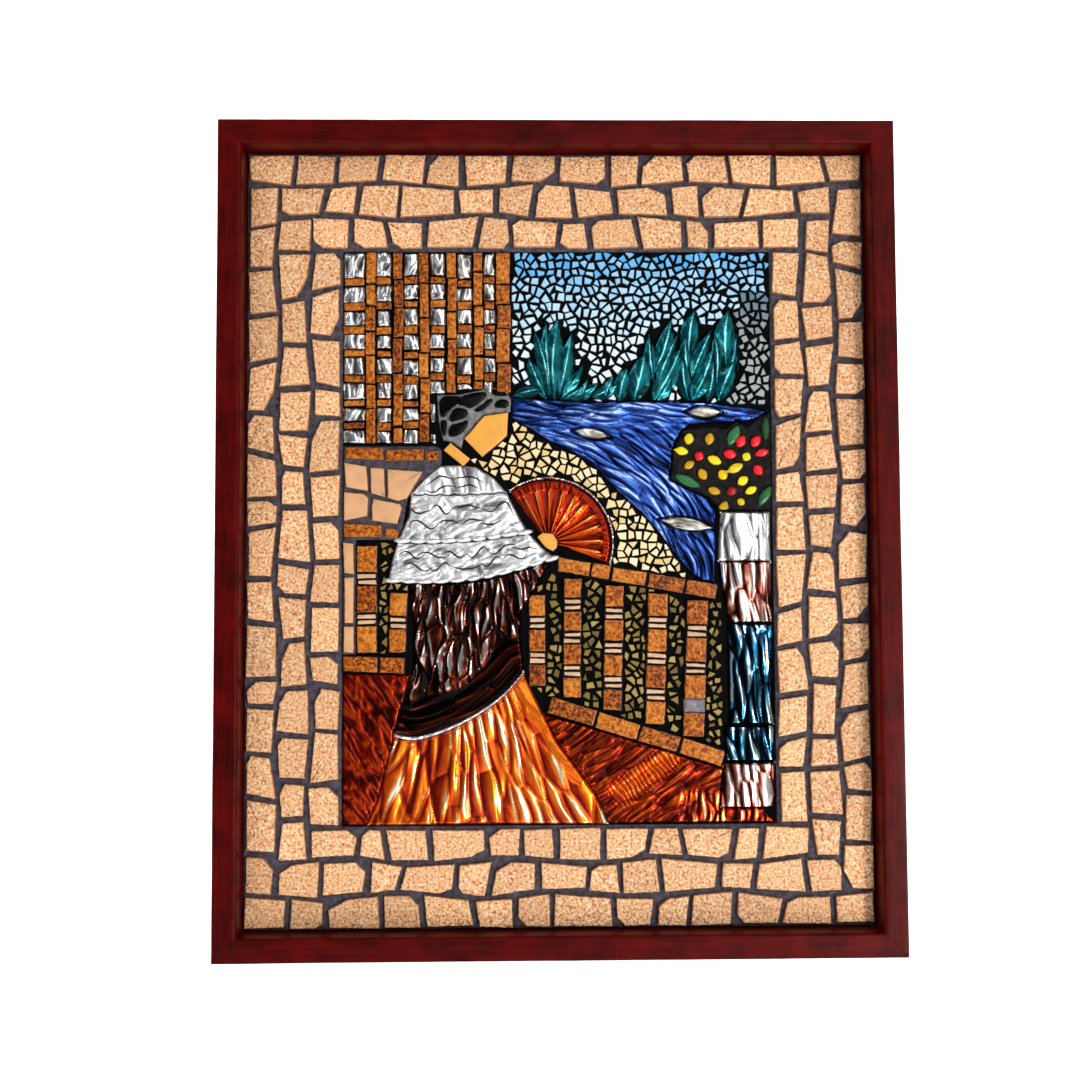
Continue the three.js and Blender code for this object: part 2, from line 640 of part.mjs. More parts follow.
function addBalustrade() {
  const roll = dice(47);
  const { topDepth, lowDepth } = BALUSTRADE;
  for (const { name, top, low, width, blocks } of BALUSTERS)
    add(`baluster_${name}`, clearOf(baluster(top, low, width, blocks, roll), [skirtOutline()]), "mottled");
  add("balustrade_top_rail", railOfTiles([-1, 24, 39, 66, 94, 118], topRailY, topDepth, roll), "mottled");
  const lowRail = railOfTiles([-8, 27, 59, 89, 121.5], lowRailY, lowDepth, roll);
  add("balustrade_bottom_rail", clearOf(lowRail, [skirtOutline(), COLUMN_OUTLINE]), "mottled");
  const leftRailY = (x) => -94.5 - (x + 160) * 0.04;
  add("balustrade_left_rail", railOfTiles([-160, -133, -113.5], leftRailY, 11, roll), "mottled");
}

// ---------------------------------------------------------------- fields of chips

function addChipFields() {
  const sky = rectangle(-34, 98, 160, 213.3);
  add("sky_chips", clearOf(plate(sky, LEVEL.base, LEVEL.chips), [HAIR, RIVER, FLOWER_BED], 0.6), "sky");
  const beach = [
    [-34.5, 87], [-20, 79], [-8, 70], [12, 61], [30, 48], [44, 32], [62, 16], [76, -1], [86, -14], [96, -29],
    [94, -32], [60, -26], [38, -22], [10, -16], [-14, 2], [-30, 22], [-46, 44], [-60, 52], [-66, 57],
    [-54, 59], [-44, 68], [-36, 75],
  ];
  const beachNeighbours = [RIVER, FACE, NECK, fanOutline(), blouseOutline(), railOutline(-1, 118)];
  add("beach_chips", clearOf(plate(beach, LEVEL.base, LEVEL.chips), beachNeighbours, 0.6), "sand");
  const low = (x) => lowRailY(x) + BALUSTRADE.lowDepth / 2 + 0.8;
  const high = (x) => topRailY(x) - BALUSTRADE.topDepth / 2 - 0.8;
  const garden = [
    [-24, low(-6)], [-6, low(-6)], [121, low(121)], [121, high(118)], [0, high(0)], [-14, -30], [-24, -44],
  ];
  const square = () => 0.5;
  const neighbours = [
    skirtOutline(),
    COLUMN_OUTLINE,
    blouseOutline(),
    railOutline(-1, 118),
    lowRailOutline(),
    ...BALUSTERS.map(({ top, low: foot, width }) => roughTile(top, foot, width + BED_MARGIN * 2, square, 0)),
  ];
  const leastVolume = 120;
  const beds = clearings(plate(garden, LEVEL.base, LEVEL.chips), neighbours, 0.8);
  beds
    .filter((bed) => bed.volume() > leastVolume)
    .forEach((bed, i) => add(`garden_chips_${i + 1}`, bed, "garden"));
  const leftGarden = rectangle(-134, -87.5, -107, -5);
  add("garden_chips_left", clearOf(plate(leftGarden, LEVEL.base, LEVEL.chips), neighbours, 0.8), "garden");
}

// ---------------------------------------------------------------- river, boats and trees

// Sheet metal embossed in the middle and pressed down along its edge, fanned out from one point.
function domed(outline, middle, edgeRise, middleRise, base = LEVEL.base) {
  const points = [...outline.map(([x, y]) => [x, y, base + edgeRise]), [...middle, base + middleRise]];
  const feet = outline.map(([x, y]) => [x, y, base]);
  const count = outline.length;
  const faces = [];
  for (let i = 0; i < count; i++) {
    const next = (i + 1) % count;
    faces.push([i, next, count]);
    faces.push([i, count + 1 + i, count + 1 + next], [i, count + 1 + next, next]);
  }
  const contour = outline.map(([x, y]) => new THREE.Vector2(x, y));
  for (const face of THREE.ShapeUtils.triangulateShape(contour, []))
    faces.push(face.map((k) => count + 1 + k).reverse());
  const geometry = new THREE.BufferGeometry()
    .setAttribute("position", new THREE.Float32BufferAttribute([...points, ...feet].flat(), 3))
    .setIndex(faces.flat());
  return toSolid(geometry);
}

function addRiver() {
  const holes = BOATS.map((boat) => pointedOval(boat));
  const water = (x, y) => 1.6 + 1.1 * Math.abs(Math.sin((x + 2.4 * y) / 13)) + 0.5 * Math.sin(x / 9);
  // The sheet is rippled over its whole width and then trimmed to the river's banks.
  const [left, right, low, high] = [-36, 160, -39, 105];
  const edge = (y) => along([[left, y], [right, y]], 13);
  const rise = (u, v) => water(mix(left, right, u), mix(high, low, v));
  const sheet = embossed([edge(high), edge(low)], 9, rise);
  const trimmed = sheet.intersect(plate(RIVER, 0, PANEL.depth));
  const neighbours = [...holes, grown(FLOWER_BED, 0.4), COLUMN_OUTLINE, railOutline(-1, 118)];
  add("river_foil", clearOf(trimmed, neighbours), "blue");
  for (const boat of BOATS)
    add(`boat_${boat.name}`, domed(pointedOval(boat), [boat.x, boat.y], 1.2, 3.4), "silver");
}

// Leaves grow from a foot to a tip. Each tree is a spray of them, joined where they cross.
const TREES = {
  tree_left: [
    [-6, 104, -17, 153, 11], [-5, 108, -8.5, 160, 11], [-2, 102, 1, 163, 15], [1, 104, 11, 153, 11],
    [2, 103, 20, 128, 8], [3, 103, 22, 113, 6], [-8, 103, -22, 134, 10],
  ],
  tree_middle: [
    [46, 101, 53, 126, 11], [57, 101, 66, 136, 15], [72, 116, 69, 151, 9], [72, 122, 86, 162, 12],
    [74, 112, 91, 151, 9], [71, 101, 93, 141, 14], [74, 101, 86, 119, 9],
  ],
  tree_right: [
    [99, 136, 103.5, 169, 12], [98, 120, 96, 149, 10], [100, 118, 116, 154, 10], [98, 101, 93.5, 134, 10],
    [100, 101, 117, 140, 14], [112, 101, 117, 131, 9], [119, 112, 118, 152, 9], [127, 128, 129, 169, 15],
    [120, 101, 134, 133, 12], [128, 112, 135, 150, 9],
  ],
  shore_leaf: [[-33.5, 106, -10, 109, 8]],
  shore_leaves: [
    [7, 104, 31, 113, 9], [25, 104, 46, 113, 9], [17, 103, 23, 117, 6], [35, 103, 42, 119, 7],
  ],
};

function leafOutline([footX, footY, tipX, tipY, width]) {
  const length = Math.hypot(tipX - footX, tipY - footY);
  const turn = THREE.MathUtils.radToDeg(Math.atan2(tipY - footY, tipX - footX));
  return pointedOval({ x: (footX + tipX) / 2, y: (footY + tipY) / 2, length, width, turn }, 3);
}

function leaf(one) {
  const [footX, footY, tipX, tipY] = one;
  const middle = [(footX + tipX) / 2, (footY + tipY) / 2];
  return domed(leafOutline(one), middle, 0.9, 3.2, LEVEL.chips + GAP);
}

function addTrees() {
  const standing = [];
  for (const [name, leaves] of Object.entries(TREES)) {
    // A strip of foil along the foot of each spray is what its leaves are cut from.
    const feet = leaves.map(([x]) => x);
    const strip = rectangle(Math.min(...feet) - 1, 104.4, Math.max(...feet) + 1, 107.5);
    const stem = plate(strip, LEVEL.chips + GAP, LEVEL.chips + GAP + 0.8);
    const spray = join([stem, ...leaves.map(leaf)]);
    add(name, clearOf(spray, [RIVER, HAIR, ...standing], 0.4), "green");
    standing.push(strip, ...leaves.map(leafOutline));
  }
}

// ---------------------------------------------------------------- figure

function blouseOutline() {
  const { yoke, middle_flounce: middle, lower_flounce: lower } = BLOUSE_TIERS;
  return outlineOf([...yoke, ...middle.slice(1), ...lower.slice(1)]);
}

// Both skirts and the trim between them, as one outline.
function skirtOutline() {
  return outlineOf([...DARK_SKIRT_LINES, ...ORANGE_SKIRT_LINES]);
}

function fanOutline() {
  return [[FAN.x, FAN.y - 6], ...fanArc(FAN.radius + FAN.rim, 20)];
}

function railOutline(from, to) {
  return roughTile([from, topRailY(from)], [to, topRailY(to)], BALUSTRADE.topDepth + 1, () => 0.5, 0);
}

function lowRailOutline() {
  return roughTile([-8, lowRailY(-8)], [122, lowRailY(122)], BALUSTRADE.lowDepth + 1.2, () => 0.5, 0);
}

function addHead() {
  add("face_tile", plate(FACE, LEVEL.base, LEVEL.tile), "ochre");
  add("neck_tile", plate(NECK, LEVEL.base, LEVEL.tile), "ochre");
  const pieces = LOCKS.map((lock) => plate(lock, LEVEL.base, LEVEL.sliver));
  const hair = join([plate(HAIR, LEVEL.base, LEVEL.grout), ...pieces]);
  add("hair_mosaic", clearOf(hair, [FACE, NECK]), "hair");
}

function addBlouse() {
  const rises = {
    yoke: (u, v) => 1.2 + 1.6 * v + 0.9 * Math.abs(Math.sin(u * 18)),
    middle_flounce: (u, v) => 1.2 + 2.6 * v + 0.8 * Math.abs(Math.sin(v * 9 + u * 3)),
    lower_flounce: (u, v) => 1.2 + 2.8 * v + 0.8 * Math.abs(Math.sin(v * 8 - u * 3)),
  };
  for (const [name, lines] of Object.entries(BLOUSE_TIERS))
    add(`blouse_${name}`, clearOf(embossed(lines, 2, rises[name]), [fanOutline(), NECK]), "silver");
}

function addSkirts() {
  const darkFolds = embossed(DARK_SKIRT_LINES, 2, folds(12, 1.4, 4.6));
  add("dark_skirt", clearOf(darkFolds, [blouseOutline()]), "darkBrown");
  const lowEdge = SKIRT_TRIM.map(([x, y]) => [x, y - TRIM_WIDTH]);
  add("skirt_trim", plate(outlineOf([SKIRT_TRIM, lowEdge]), LEVEL.base, LEVEL.base + 3.6), "silver");
  add("orange_skirt", embossed(ORANGE_SKIRT_LINES, 2, folds(16, 1.2, 5)), "orange");
}

function addFan() {
  const steps = FAN.ribs * 2;
  const leafFolds = (u) => 1.2 + 3 * Math.abs(((u * FAN.ribs) % 1) - 0.5) * 2;
  const sheet = embossed([fanArc(FAN.radius - GAP, steps), fanArc(5, steps)], 3, leafFolds);
  add("fan_leaf", clearOf(sheet, [FAN_HUB, railOutline(-1, 118)]), "rust");
  const rim = outlineOf([fanArc(FAN.radius + FAN.rim, 20), fanArc(FAN.radius, 20)]);
  add("fan_rim", clearOf(plate(rim, LEVEL.base, LEVEL.base + 4.4), [railOutline(-1, 118)]), "silver");
  add("fan_hub_tile", plate(FAN_HUB, LEVEL.base, LEVEL.tile), "ochre");
}

// ---------------------------------------------------------------- column, flowers and floor

function addColumn() {
  const columns = 10;
  for (const { name, look, top, low } of COLUMN) {
    const line = ([left, right, y]) => along([[left, y], [right - GAP, y]], columns);
    const pleats = folds(5, 0, 2);
    const rise = (u, v) => 1.6 + 3.4 * Math.sin(Math.PI * mix(0.12, 0.88, u)) + pleats(u, v);
    add(`column_${name}`, embossed([line(top), line(low)], 3, rise), look);
  }
}

// Each petal and leaf is its middle's x and y, its length and width, and its turn in degrees.
const PETALS = [
  [98, 71.5, 10, 8, 80], [113.5, 71.5, 10.5, 7.5, 80], [92.5, 62.5, 11.5, 7, -12], [98, 52, 10, 6.5, 35],
  [117, 55.5, 13, 7.5, -25], [108, 45, 10.5, 7.5, -60], [123, 44.5, 9.5, 8, -50], [116.5, 32.5, 11, 6.5, -18],
  [141, 58, 8, 7.5, 60], [138, 40, 10.5, 7.5, 35], [144, 32.8, 11, 6.5, 25], [123.3, 19.8, 12.5, 7.5, 65],
  [136.5, 24.2, 7.5, 6, -40], [105.5, 58.5, 8.5, 8, -30], [128.5, 60, 11.5, 8, -10], [137, 69.5, 11.5, 8, 60],
  [148, 69.5, 11.5, 8, 55], [152.5, 61, 12.5, 6.5, 15], [132.5, 49.5, 14.5, 7.5, 25],
  [149.5, 48, 10.5, 8, -50], [129.7, 32.2, 9.5, 7, 25],
];
const FLOWER_LEAVES = [
  [131.5, 74, 19, 9, 62], [155.8, 79.5, 20, 6.5, 88], [96.5, 40, 24, 8, -25], [154.5, 28.5, 20, 8, 58],
];

function addFlowers() {
  const oval = ([x, y, length, width, turn]) => pointedOval({ x, y, length, width, turn }, 3);
  const petals = PETALS.map((petal) => plate(oval(petal), LEVEL.base, LEVEL.strip));
  const leaves = FLOWER_LEAVES.map((one) => plate(oval(one), LEVEL.base, LEVEL.sliver));
  const bed = join([plate(FLOWER_BED, LEVEL.base, LEVEL.grout), ...petals, ...leaves]);
  const inside = plate(FLOWER_BED, 0, PANEL.depth);
  add("flower_mosaic", clearOf(bed.intersect(inside), [COLUMN_OUTLINE]), "flowers");
}

function addFloor() {
  const pieces = [
    { name: "floor_foil_left", ...FLOOR_LEFT, columns: 7, others: [] },
    { name: "floor_foil_right", ...FLOOR_RIGHT, columns: 14, others: [COLUMN_OUTLINE, lowRailOutline()] },
  ];
  for (const { name, far, near, columns, others } of pieces) {
    const creases = (u, v) => 1.3 + 1.5 * Math.abs(Math.sin(u * 9 + v * 7));
    const sheet = embossed([along(far, columns), along(near, columns)], 5, creases);
    add(name, clearOf(sheet, [skirtOutline(), ...others]), "rust");
  }
}

// ---------------------------------------------------------------- the whole panel

addFrame();
addBorder();
addGround();
addWindow();
addWall();
addChipFields();
addRiver();
addTrees();
addBalustrade();
addHead();
addBlouse();
addSkirts();
addFan();
addColumn();
addFlowers();
addFloor();

const standing = new THREE.Group();
panel.rotation.x = Math.PI / 2;
standing.add(panel);

export default standing;
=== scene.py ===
"""Looks for the framed mosaic panel: tiles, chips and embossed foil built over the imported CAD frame.

Plan coordinates are millimetres seen from the front: x to the right, y up, and a height out of the wall.
The panel's own frame has +Z up and faces -Y, so a plan point (x, y) at height h is (x, -h, y) there.
"""

import math

import bmesh
import bpy
import numpy as np
from bpy.props import FloatProperty, FloatVectorProperty, IntProperty, PointerProperty
from mathutils import Euler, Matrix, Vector
from mathutils.geometry import delaunay_2d_cdt


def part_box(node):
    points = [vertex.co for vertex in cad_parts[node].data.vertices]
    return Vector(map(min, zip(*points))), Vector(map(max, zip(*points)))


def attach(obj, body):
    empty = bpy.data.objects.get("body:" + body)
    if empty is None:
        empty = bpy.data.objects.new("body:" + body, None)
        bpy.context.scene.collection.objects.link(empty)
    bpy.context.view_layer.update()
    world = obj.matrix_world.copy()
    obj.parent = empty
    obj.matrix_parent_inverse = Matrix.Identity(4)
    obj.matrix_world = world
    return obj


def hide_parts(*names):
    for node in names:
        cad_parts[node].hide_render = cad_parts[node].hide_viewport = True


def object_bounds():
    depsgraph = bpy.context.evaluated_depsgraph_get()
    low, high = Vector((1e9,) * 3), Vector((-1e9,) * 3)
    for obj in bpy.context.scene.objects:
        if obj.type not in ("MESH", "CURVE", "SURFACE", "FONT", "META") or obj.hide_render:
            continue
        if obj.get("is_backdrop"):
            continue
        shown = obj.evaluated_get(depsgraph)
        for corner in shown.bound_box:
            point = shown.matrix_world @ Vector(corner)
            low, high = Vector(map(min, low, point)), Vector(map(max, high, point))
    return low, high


bl_info = {
    "name": "Mosaic panel",
    "version": (1, 0, 0),
    "blender": (4, 5, 0),
    "location": "3D View > Sidebar > Mosaic",
    "description": "Builds a framed mosaic panel of broken tile, chips and embossed foil",
    "category": "Add Mesh",
}

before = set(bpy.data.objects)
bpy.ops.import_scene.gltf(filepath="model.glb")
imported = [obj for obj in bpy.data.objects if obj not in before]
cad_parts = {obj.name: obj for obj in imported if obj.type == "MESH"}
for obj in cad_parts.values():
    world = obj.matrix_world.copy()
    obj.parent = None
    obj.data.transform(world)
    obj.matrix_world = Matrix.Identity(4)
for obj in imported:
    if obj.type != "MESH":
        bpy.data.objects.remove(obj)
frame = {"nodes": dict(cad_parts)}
CAD_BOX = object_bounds()
MM = 0.001

# A flat face smaller than this, in square millimetres, is a leftover between facets and is skipped.
SMALLEST_FACE = 2.0
# Heights of a chip's foot and top above the wall, in millimetres.
CHIP_FOOT, CHIP_TOP = 11.5, 13.2
# An edge bent by more than this many degrees shows as a crease.
CHIP_CREASE, FOIL_CREASE, CEMENT_CREASE = 25, 50, 60


def linear(hex_colour):
    """An sRGB hex colour as linear red, green and blue."""
    parts = [int(hex_colour[i : i + 2], 16) / 255 for i in (1, 3, 5)]
    return [p / 12.92 if p <= 0.04045 else ((p + 0.055) / 1.055) ** 2.4 for p in parts]


def rgba(colour):
    """A hex colour, or a linear one, with full opacity."""
    return (*(linear(colour) if isinstance(colour, str) else colour), 1.0)


# ---------------------------------------------------------------- numbers


def scramble(i, j, seed):
    """A random number from 0 to 1 for each pair of whole numbers."""
    mixed = (i.astype(np.int64) * 374761393 + j.astype(np.int64) * 668265263 + seed * 974711) & 0xFFFFFFFF
    mixed = ((mixed ^ (mixed >> 13)) * 1274126177) & 0xFFFFFFFF
    return ((mixed ^ (mixed >> 16)) & 0xFFFFFF) / 0x1000000


def ease(value, low=0.0, high=1.0):
    """Climbs smoothly from 0 at low to 1 at high."""
    share = np.clip((value - low) / (high - low), 0, 1)
    return share * share * (3 - 2 * share)


def blend(first, second, share):
    return first + (second - first) * share


def noise(x, y, seed):
    """Smooth noise from 0 to 1 with features one unit across."""
    i, j = np.floor(x), np.floor(y)
    u, v = ease(x - i), ease(y - j)
    low = blend(scramble(i, j, seed), scramble(i + 1, j, seed), u)
    high = blend(scramble(i, j + 1, seed), scramble(i + 1, j + 1, seed), u)
    return blend(low, high, v)


def creases(x, y, seed):
    """Sharp ridges with rounded hollows between them, 0 to 1."""
    return 1 - np.abs(2 * noise(x, y, seed) - 1)


def crumple(x, y, seed):
    """Creases on creases, as in foil that was squeezed and opened out, 0 to 1."""
    bent = x + 0.8 * noise(x * 0.7, y * 0.7, seed + 1)
    turned = y + 0.8 * noise(x * 0.7, y * 0.7, seed + 2)
    first = creases(bent, turned, seed + 3)
    second = creases(bent * 1.9 + turned * 0.8, turned * 1.9 - bent * 0.8, seed + 4)
    return 0.65 * first + 0.35 * second


def lenses(across, along, seed):
    """Long domes packed side by side, one to a unit square of the two coordinates.

    Gives how high each point is on its dome, 0 to 1, and a random number that belongs to the whole dome."""
    i, j = np.floor(across), np.floor(along)
    first = np.full(np.shape(across), 9.0)
    second = first.copy()
    own = np.zeros(np.shape(across))
    loose = 0.8  # How far a dome's middle strays over its square.
    for di in (-1, 0, 1):
        for dj in (-1, 0, 1, 2):
            a, b = i + di, j + dj
            # Every second row starts half a dome later, so that the domes' points sit in each other's gaps.
            da = a + 0.5 + loose * (scramble(a, b, seed) - 0.5) - across
            db = b + 0.5 - 0.5 * np.mod(a, 2) + loose * (scramble(a, b, seed + 7) - 0.5) - along
            far = np.hypot(da, db)
            nearer = far < first
            second = np.where(nearer, first, np.minimum(second, far))
            own = np.where(nearer, scramble(a, b, seed + 13), own)
            first = np.where(nearer, far, first)
    return np.sqrt(np.clip(second - first, 0, 1)), own


# ---------------------------------------------------------------- plan outlines


def area(outline):
    x, y = outline.T
    return 0.5 * float(np.sum(x * np.roll(y, -1) - y * np.roll(x, -1)))


def flat_parts(node, back=False):
    """The outlines of a CAD node's flat faces on the front, or on the back, as {height: outlines}.

    Each outline is a loop of plan points with its face on the left, so a hole's runs clockwise. Heights are
    rounded to a tenth of a millimetre, and the largest outline comes first."""
    mesh = bmesh.new()
    mesh.from_mesh(frame["nodes"][node].data)
    bmesh.ops.remove_doubles(mesh, verts=mesh.verts, dist=2e-5)
    mesh.normal_update()
    way = 1 if back else -1
    level = {}
    for face in mesh.faces:
        if face.normal.y * way > 0.99:
            level[face] = round(-face.calc_center_median().y / MM, 1)
    parts = {}
    for height in sorted(set(level.values())):
        after = {}
        for face in (f for f in level if level[f] == height):
            for corner in face.loops:
                if all(level.get(other) != height for other in corner.edge.link_faces if other is not face):
                    after.setdefault(corner.vert, []).append(corner.link_loop_next.vert)
        outlines = [np.array(line)[::-way] for line in chained(after)]
        outlines = [o for o in outlines if len(o) > 2 and abs(area(o)) > SMALLEST_FACE]
        if outlines:
            parts[height] = sorted(outlines, key=lambda o: -abs(area(o)))
    mesh.free()
    return parts


def chained(after):
    """Closed lines of plan points from a map of each corner to the corners that follow it."""
    while after:
        start = here = next(iter(after))
        line = []
        while here in after:
            line.append((here.co.x / MM, here.co.z / MM))
            following = after[here]
            step = following.pop()
            if not following:
                del after[here]
            here = step
            if here is start:
                break
        yield line


def footprint(node):
    """A CAD node's outline on the panel's ground, and its holes."""
    parts = flat_parts(node, back=True)
    outlines = parts[min(parts)]
    return outlines[0], [o for o in outlines[1:] if area(o) < 0]


def foot_of(node):
    """The height of a CAD node's back above the wall, in millimetres."""
    return -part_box(node)[1].y / MM


def resampled(line, spacing, closed=True):
    """The same line with its long edges cut into equal steps."""
    ends = np.roll(line, -1, 0) if closed else line[1:]
    points = []
    for a, b in zip(line, ends):
        steps = max(1, round(float(np.hypot(*(b - a))) / spacing))
        points.extend(a + (b - a) * k / steps for k in range(steps))
    if not closed:
        points.append(line[-1])
    return np.array(points)


def inside(points, outline):
    """Which points lie inside an outline."""
    x, y = points.T
    result = np.zeros(len(points), bool)
    for a, b in zip(outline, np.roll(outline, -1, 0)):
        if a[1] != b[1]:
            crosses = (a[1] > y) != (b[1] > y)
            result ^= crosses & (x < a[0] + (y - a[1]) * (b[0] - a[0]) / (b[1] - a[1]))
    return result


def nearest_on(points, line, closed=True):
    """Each point's distance to a line, and the nearest spot on it."""
    best = np.full(len(points), np.inf)
    spot = np.zeros((len(points), 2))
    ends = np.roll(line, -1, 0) if closed else line[1:]
    for a, b in zip(line, ends):
        along = b - a
        length = float(along @ along)
        if length > 1e-12:
            near = a + np.clip(((points - a) @ along) / length, 0, 1)[:, None] * along
            far = np.hypot(*(points - near).T)
            closer = far < best
            best = np.where(closer, far, best)
            spot = np.where(closer[:, None], near, spot)
    return best, spot


def shrunk(outline, distance):
    """An outline moved inwards, each corner along its own bisector, by one distance or by one for each."""
    a = outline - np.roll(outline, 1, 0)
    b = np.roll(outline, -1, 0) - outline
    a = a / np.maximum(np.hypot(*a.T), 1e-9)[:, None]
    b = b / np.maximum(np.hypot(*b.T), 1e-9)[:, None]
    inward = np.c_[-(a[:, 1] + b[:, 1]), a[:, 0] + b[:, 0]]
    inward /= np.maximum(np.hypot(*inward.T), 1e-6)[:, None]
    lean = np.maximum(inward[:, 1] * a[:, 0] - inward[:, 0] * a[:, 1], 0.55)
    return outline + inward * (distance / lean)[:, None]


def rounded(outline, rounds=1):
    """An outline with its corners cut off, more roundly with each round."""
    for _ in range(rounds):
        after = np.roll(outline, -1, 0)
        outline = np.stack([0.75 * outline + 0.25 * after, 0.25 * outline + 0.75 * after], 1).reshape(-1, 2)
    return outline


def upright_span(x, outline):
    """The highest and the lowest height of an outline at each x."""
    high = np.full(len(x), -np.inf)
    low = np.full(len(x), np.inf)
    for a, b in zip(outline, np.roll(outline, -1, 0)):
        if abs(a[0] - b[0]) > 1e-9:
            share = (x - a[0]) / (b[0] - a[0])
            hits = (share >= -1e-6) & (share <= 1 + 1e-6)
            at = a[1] + share * (b[1] - a[1])
            high = np.where(hits, np.maximum(high, at), high)
            low = np.where(hits, np.minimum(low, at), low)
    return high, low


def box_of(outline):
    """Left, low, right and high."""
    return (*outline.min(0), *outline.max(0))


def rectangle(left, low, right, high):
    return np.array([(left, low), (right, low), (right, high), (left, high)], float)


# ---------------------------------------------------------------- meshes


class Pile:
    """Loose pieces gathered into one mesh. Each point has a tone and a side value for its material.

    A tone picks a place in a material's colours. Side is 1 on a tile's broken sides and 0 on its top."""

    def __init__(self):
        self.points, self.faces, self.tones, self.sides = [], [], [], []
        self.count = 0

    def add(self, points, faces, tone=0.5, side=0.0):
        """points are x, y and height in millimetres."""
        self.points.append(np.asarray(points, float))
        self.faces.extend([i + self.count for i in face] for face in faces)
        self.tones.append(np.broadcast_to(tone, len(points)))
        self.sides.append(np.broadcast_to(side, len(points)))
        self.count += len(points)

    def build(self, name, material, slot, *nodes, sharp=35):
        """Makes the mesh a piece of the panel that stands for some CAD nodes and hides them; its finish slot
        is not used.
        """
        points = np.concatenate(self.points)
        mesh = bpy.data.meshes.new(name)
        mesh.from_pydata(np.c_[points[:, 0], -points[:, 2], points[:, 1]] * MM, [], self.faces)
        for label, values in (("tone", self.tones), ("side", self.sides)):
            layer = mesh.attributes.new(label, "FLOAT", "POINT")
            layer.data.foreach_set("value", np.concatenate(values).astype(np.float32))
        mesh.shade_smooth()
        mesh.set_sharp_from_angle(angle=math.radians(sharp))
        mesh.materials.append(material)
        return placed(name, mesh, slot, *nodes)


def placed(name, mesh, slot, *nodes):
    piece = bpy.data.objects.new(name, mesh)
    bpy.context.scene.collection.objects.link(piece)
    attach(piece, "root")
    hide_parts(*nodes)
    return piece


def at_height(outline, height):
    return np.c_[outline, np.broadcast_to(height, len(outline))]


def stacked(pile, rings, tone, side):
    """Rings of the same number of points joined one above the other, with both ends closed.

    side gives one value to each ring."""
    count = len(rings[0])
    points = np.concatenate([*rings, [rings[-1].mean(0)], [rings[0].mean(0)]])
    peak, pit = len(points) - 2, len(points) - 1
    top = (len(rings) - 1) * count
    faces = []
    for i in range(count):
        j = (i + 1) % count
        faces.extend([k + i, k + j, k + count + j, k + count + i] for k in range(0, top, count))
        faces.extend([[top + i, top + j, peak], [j, i, pit]])
    pile.add(points, faces, tone, np.r_[np.repeat(side, count), side[-1], side[0]])


def tile(pile, outline, low, high, rng, edge=0.6, rough=0.3, step=1.8, crown=0.0):
    """A piece of tile with broken sides, a worn upper edge and a top that isn't quite level."""
    line = resampled(outline, step)
    count = len(line)
    sides = shrunk(line, rng.random(count) ** 2 * rough)
    worn = edge * (0.6 + 0.8 * rng.random(count))
    brink = shrunk(sides, worn)
    inner = shrunk(brink, np.full(count, edge * 1.5))
    tilt = rng.normal(0, 0.004, 2)

    def lifted(ring, height):
        return at_height(ring, height + (ring - line.mean(0)) @ tilt)

    rings = [
        at_height(sides, low),
        lifted(sides, high - worn),
        lifted(shrunk(sides, worn * 0.3), high - worn * 0.35),
        lifted(brink, high - 0.04),
        lifted(inner, high + crown),
    ]
    stacked(pile, rings, rng.random(), [1.0, 1.0, 0.6, 0.0, 0.0])


def chip(pile, outline, low, high, edge, tone):
    """A small straight-sided chip with only a bevel round its top, since there are hundreds of them."""
    count = len(outline)
    rings = [outline, outline, shrunk(outline, np.full(count, edge))]
    points = np.concatenate([at_height(r, h) for r, h in zip(rings, (low, high - edge, high))])
    faces = [[*range(count)][::-1], [*range(2 * count, 3 * count)]]
    for i in range(count):
        j = (i + 1) % count
        faces.extend([k + i, k + j, k + count + j, k + count + i] for k in (0, count))
    pile.add(points, faces, tone, np.repeat([1.0, 0.7, 0.0], count))


def net(outline, spacing, holes=()):
    """Triangles over an outline less its holes: the points, the faces, and each rim as a list of points."""
    rims = [resampled(line, spacing) for line in (outline, *holes)]
    low, high = rims[0].min(0), rims[0].max(0)
    rows = np.arange(low[1], high[1], spacing * 0.866)
    columns = np.arange(low[0] - spacing, high[0], spacing)
    field = np.array([(x + (k % 2) * spacing / 2, y) for k, y in enumerate(rows) for x in columns])
    field = field[inside(field, rims[0])]
    for rim in rims:
        field = field[nearest_on(field, rim)[0] > spacing * 0.55]
    for rim in rims[1:]:
        field = field[~inside(field, rim)]
    loops, start = [], 0
    for rim in rims:
        loops.append([*range(start, start + len(rim))])
        start += len(rim)
    points = np.concatenate([*rims, field])
    return points, triangles(points, loops, holes), loops


def triangles(points, loops, holes):
    """Triangles between points that keep to the loops' edges and leave the holes open."""
    edges = [(a, b) for loop in loops for a, b in zip(loop, loop[1:] + loop[:1])]
    made = delaunay_2d_cdt([Vector(p) for p in points.tolist()], edges, [], 1, 1e-6)
    if len(made[0]) != len(points):
        raise RuntimeError("an outline touches itself")
    faces = np.array([[*face] for face in made[2]])
    for hole in holes:
        faces = faces[~inside(points[faces].mean(1), hole)]
    return faces


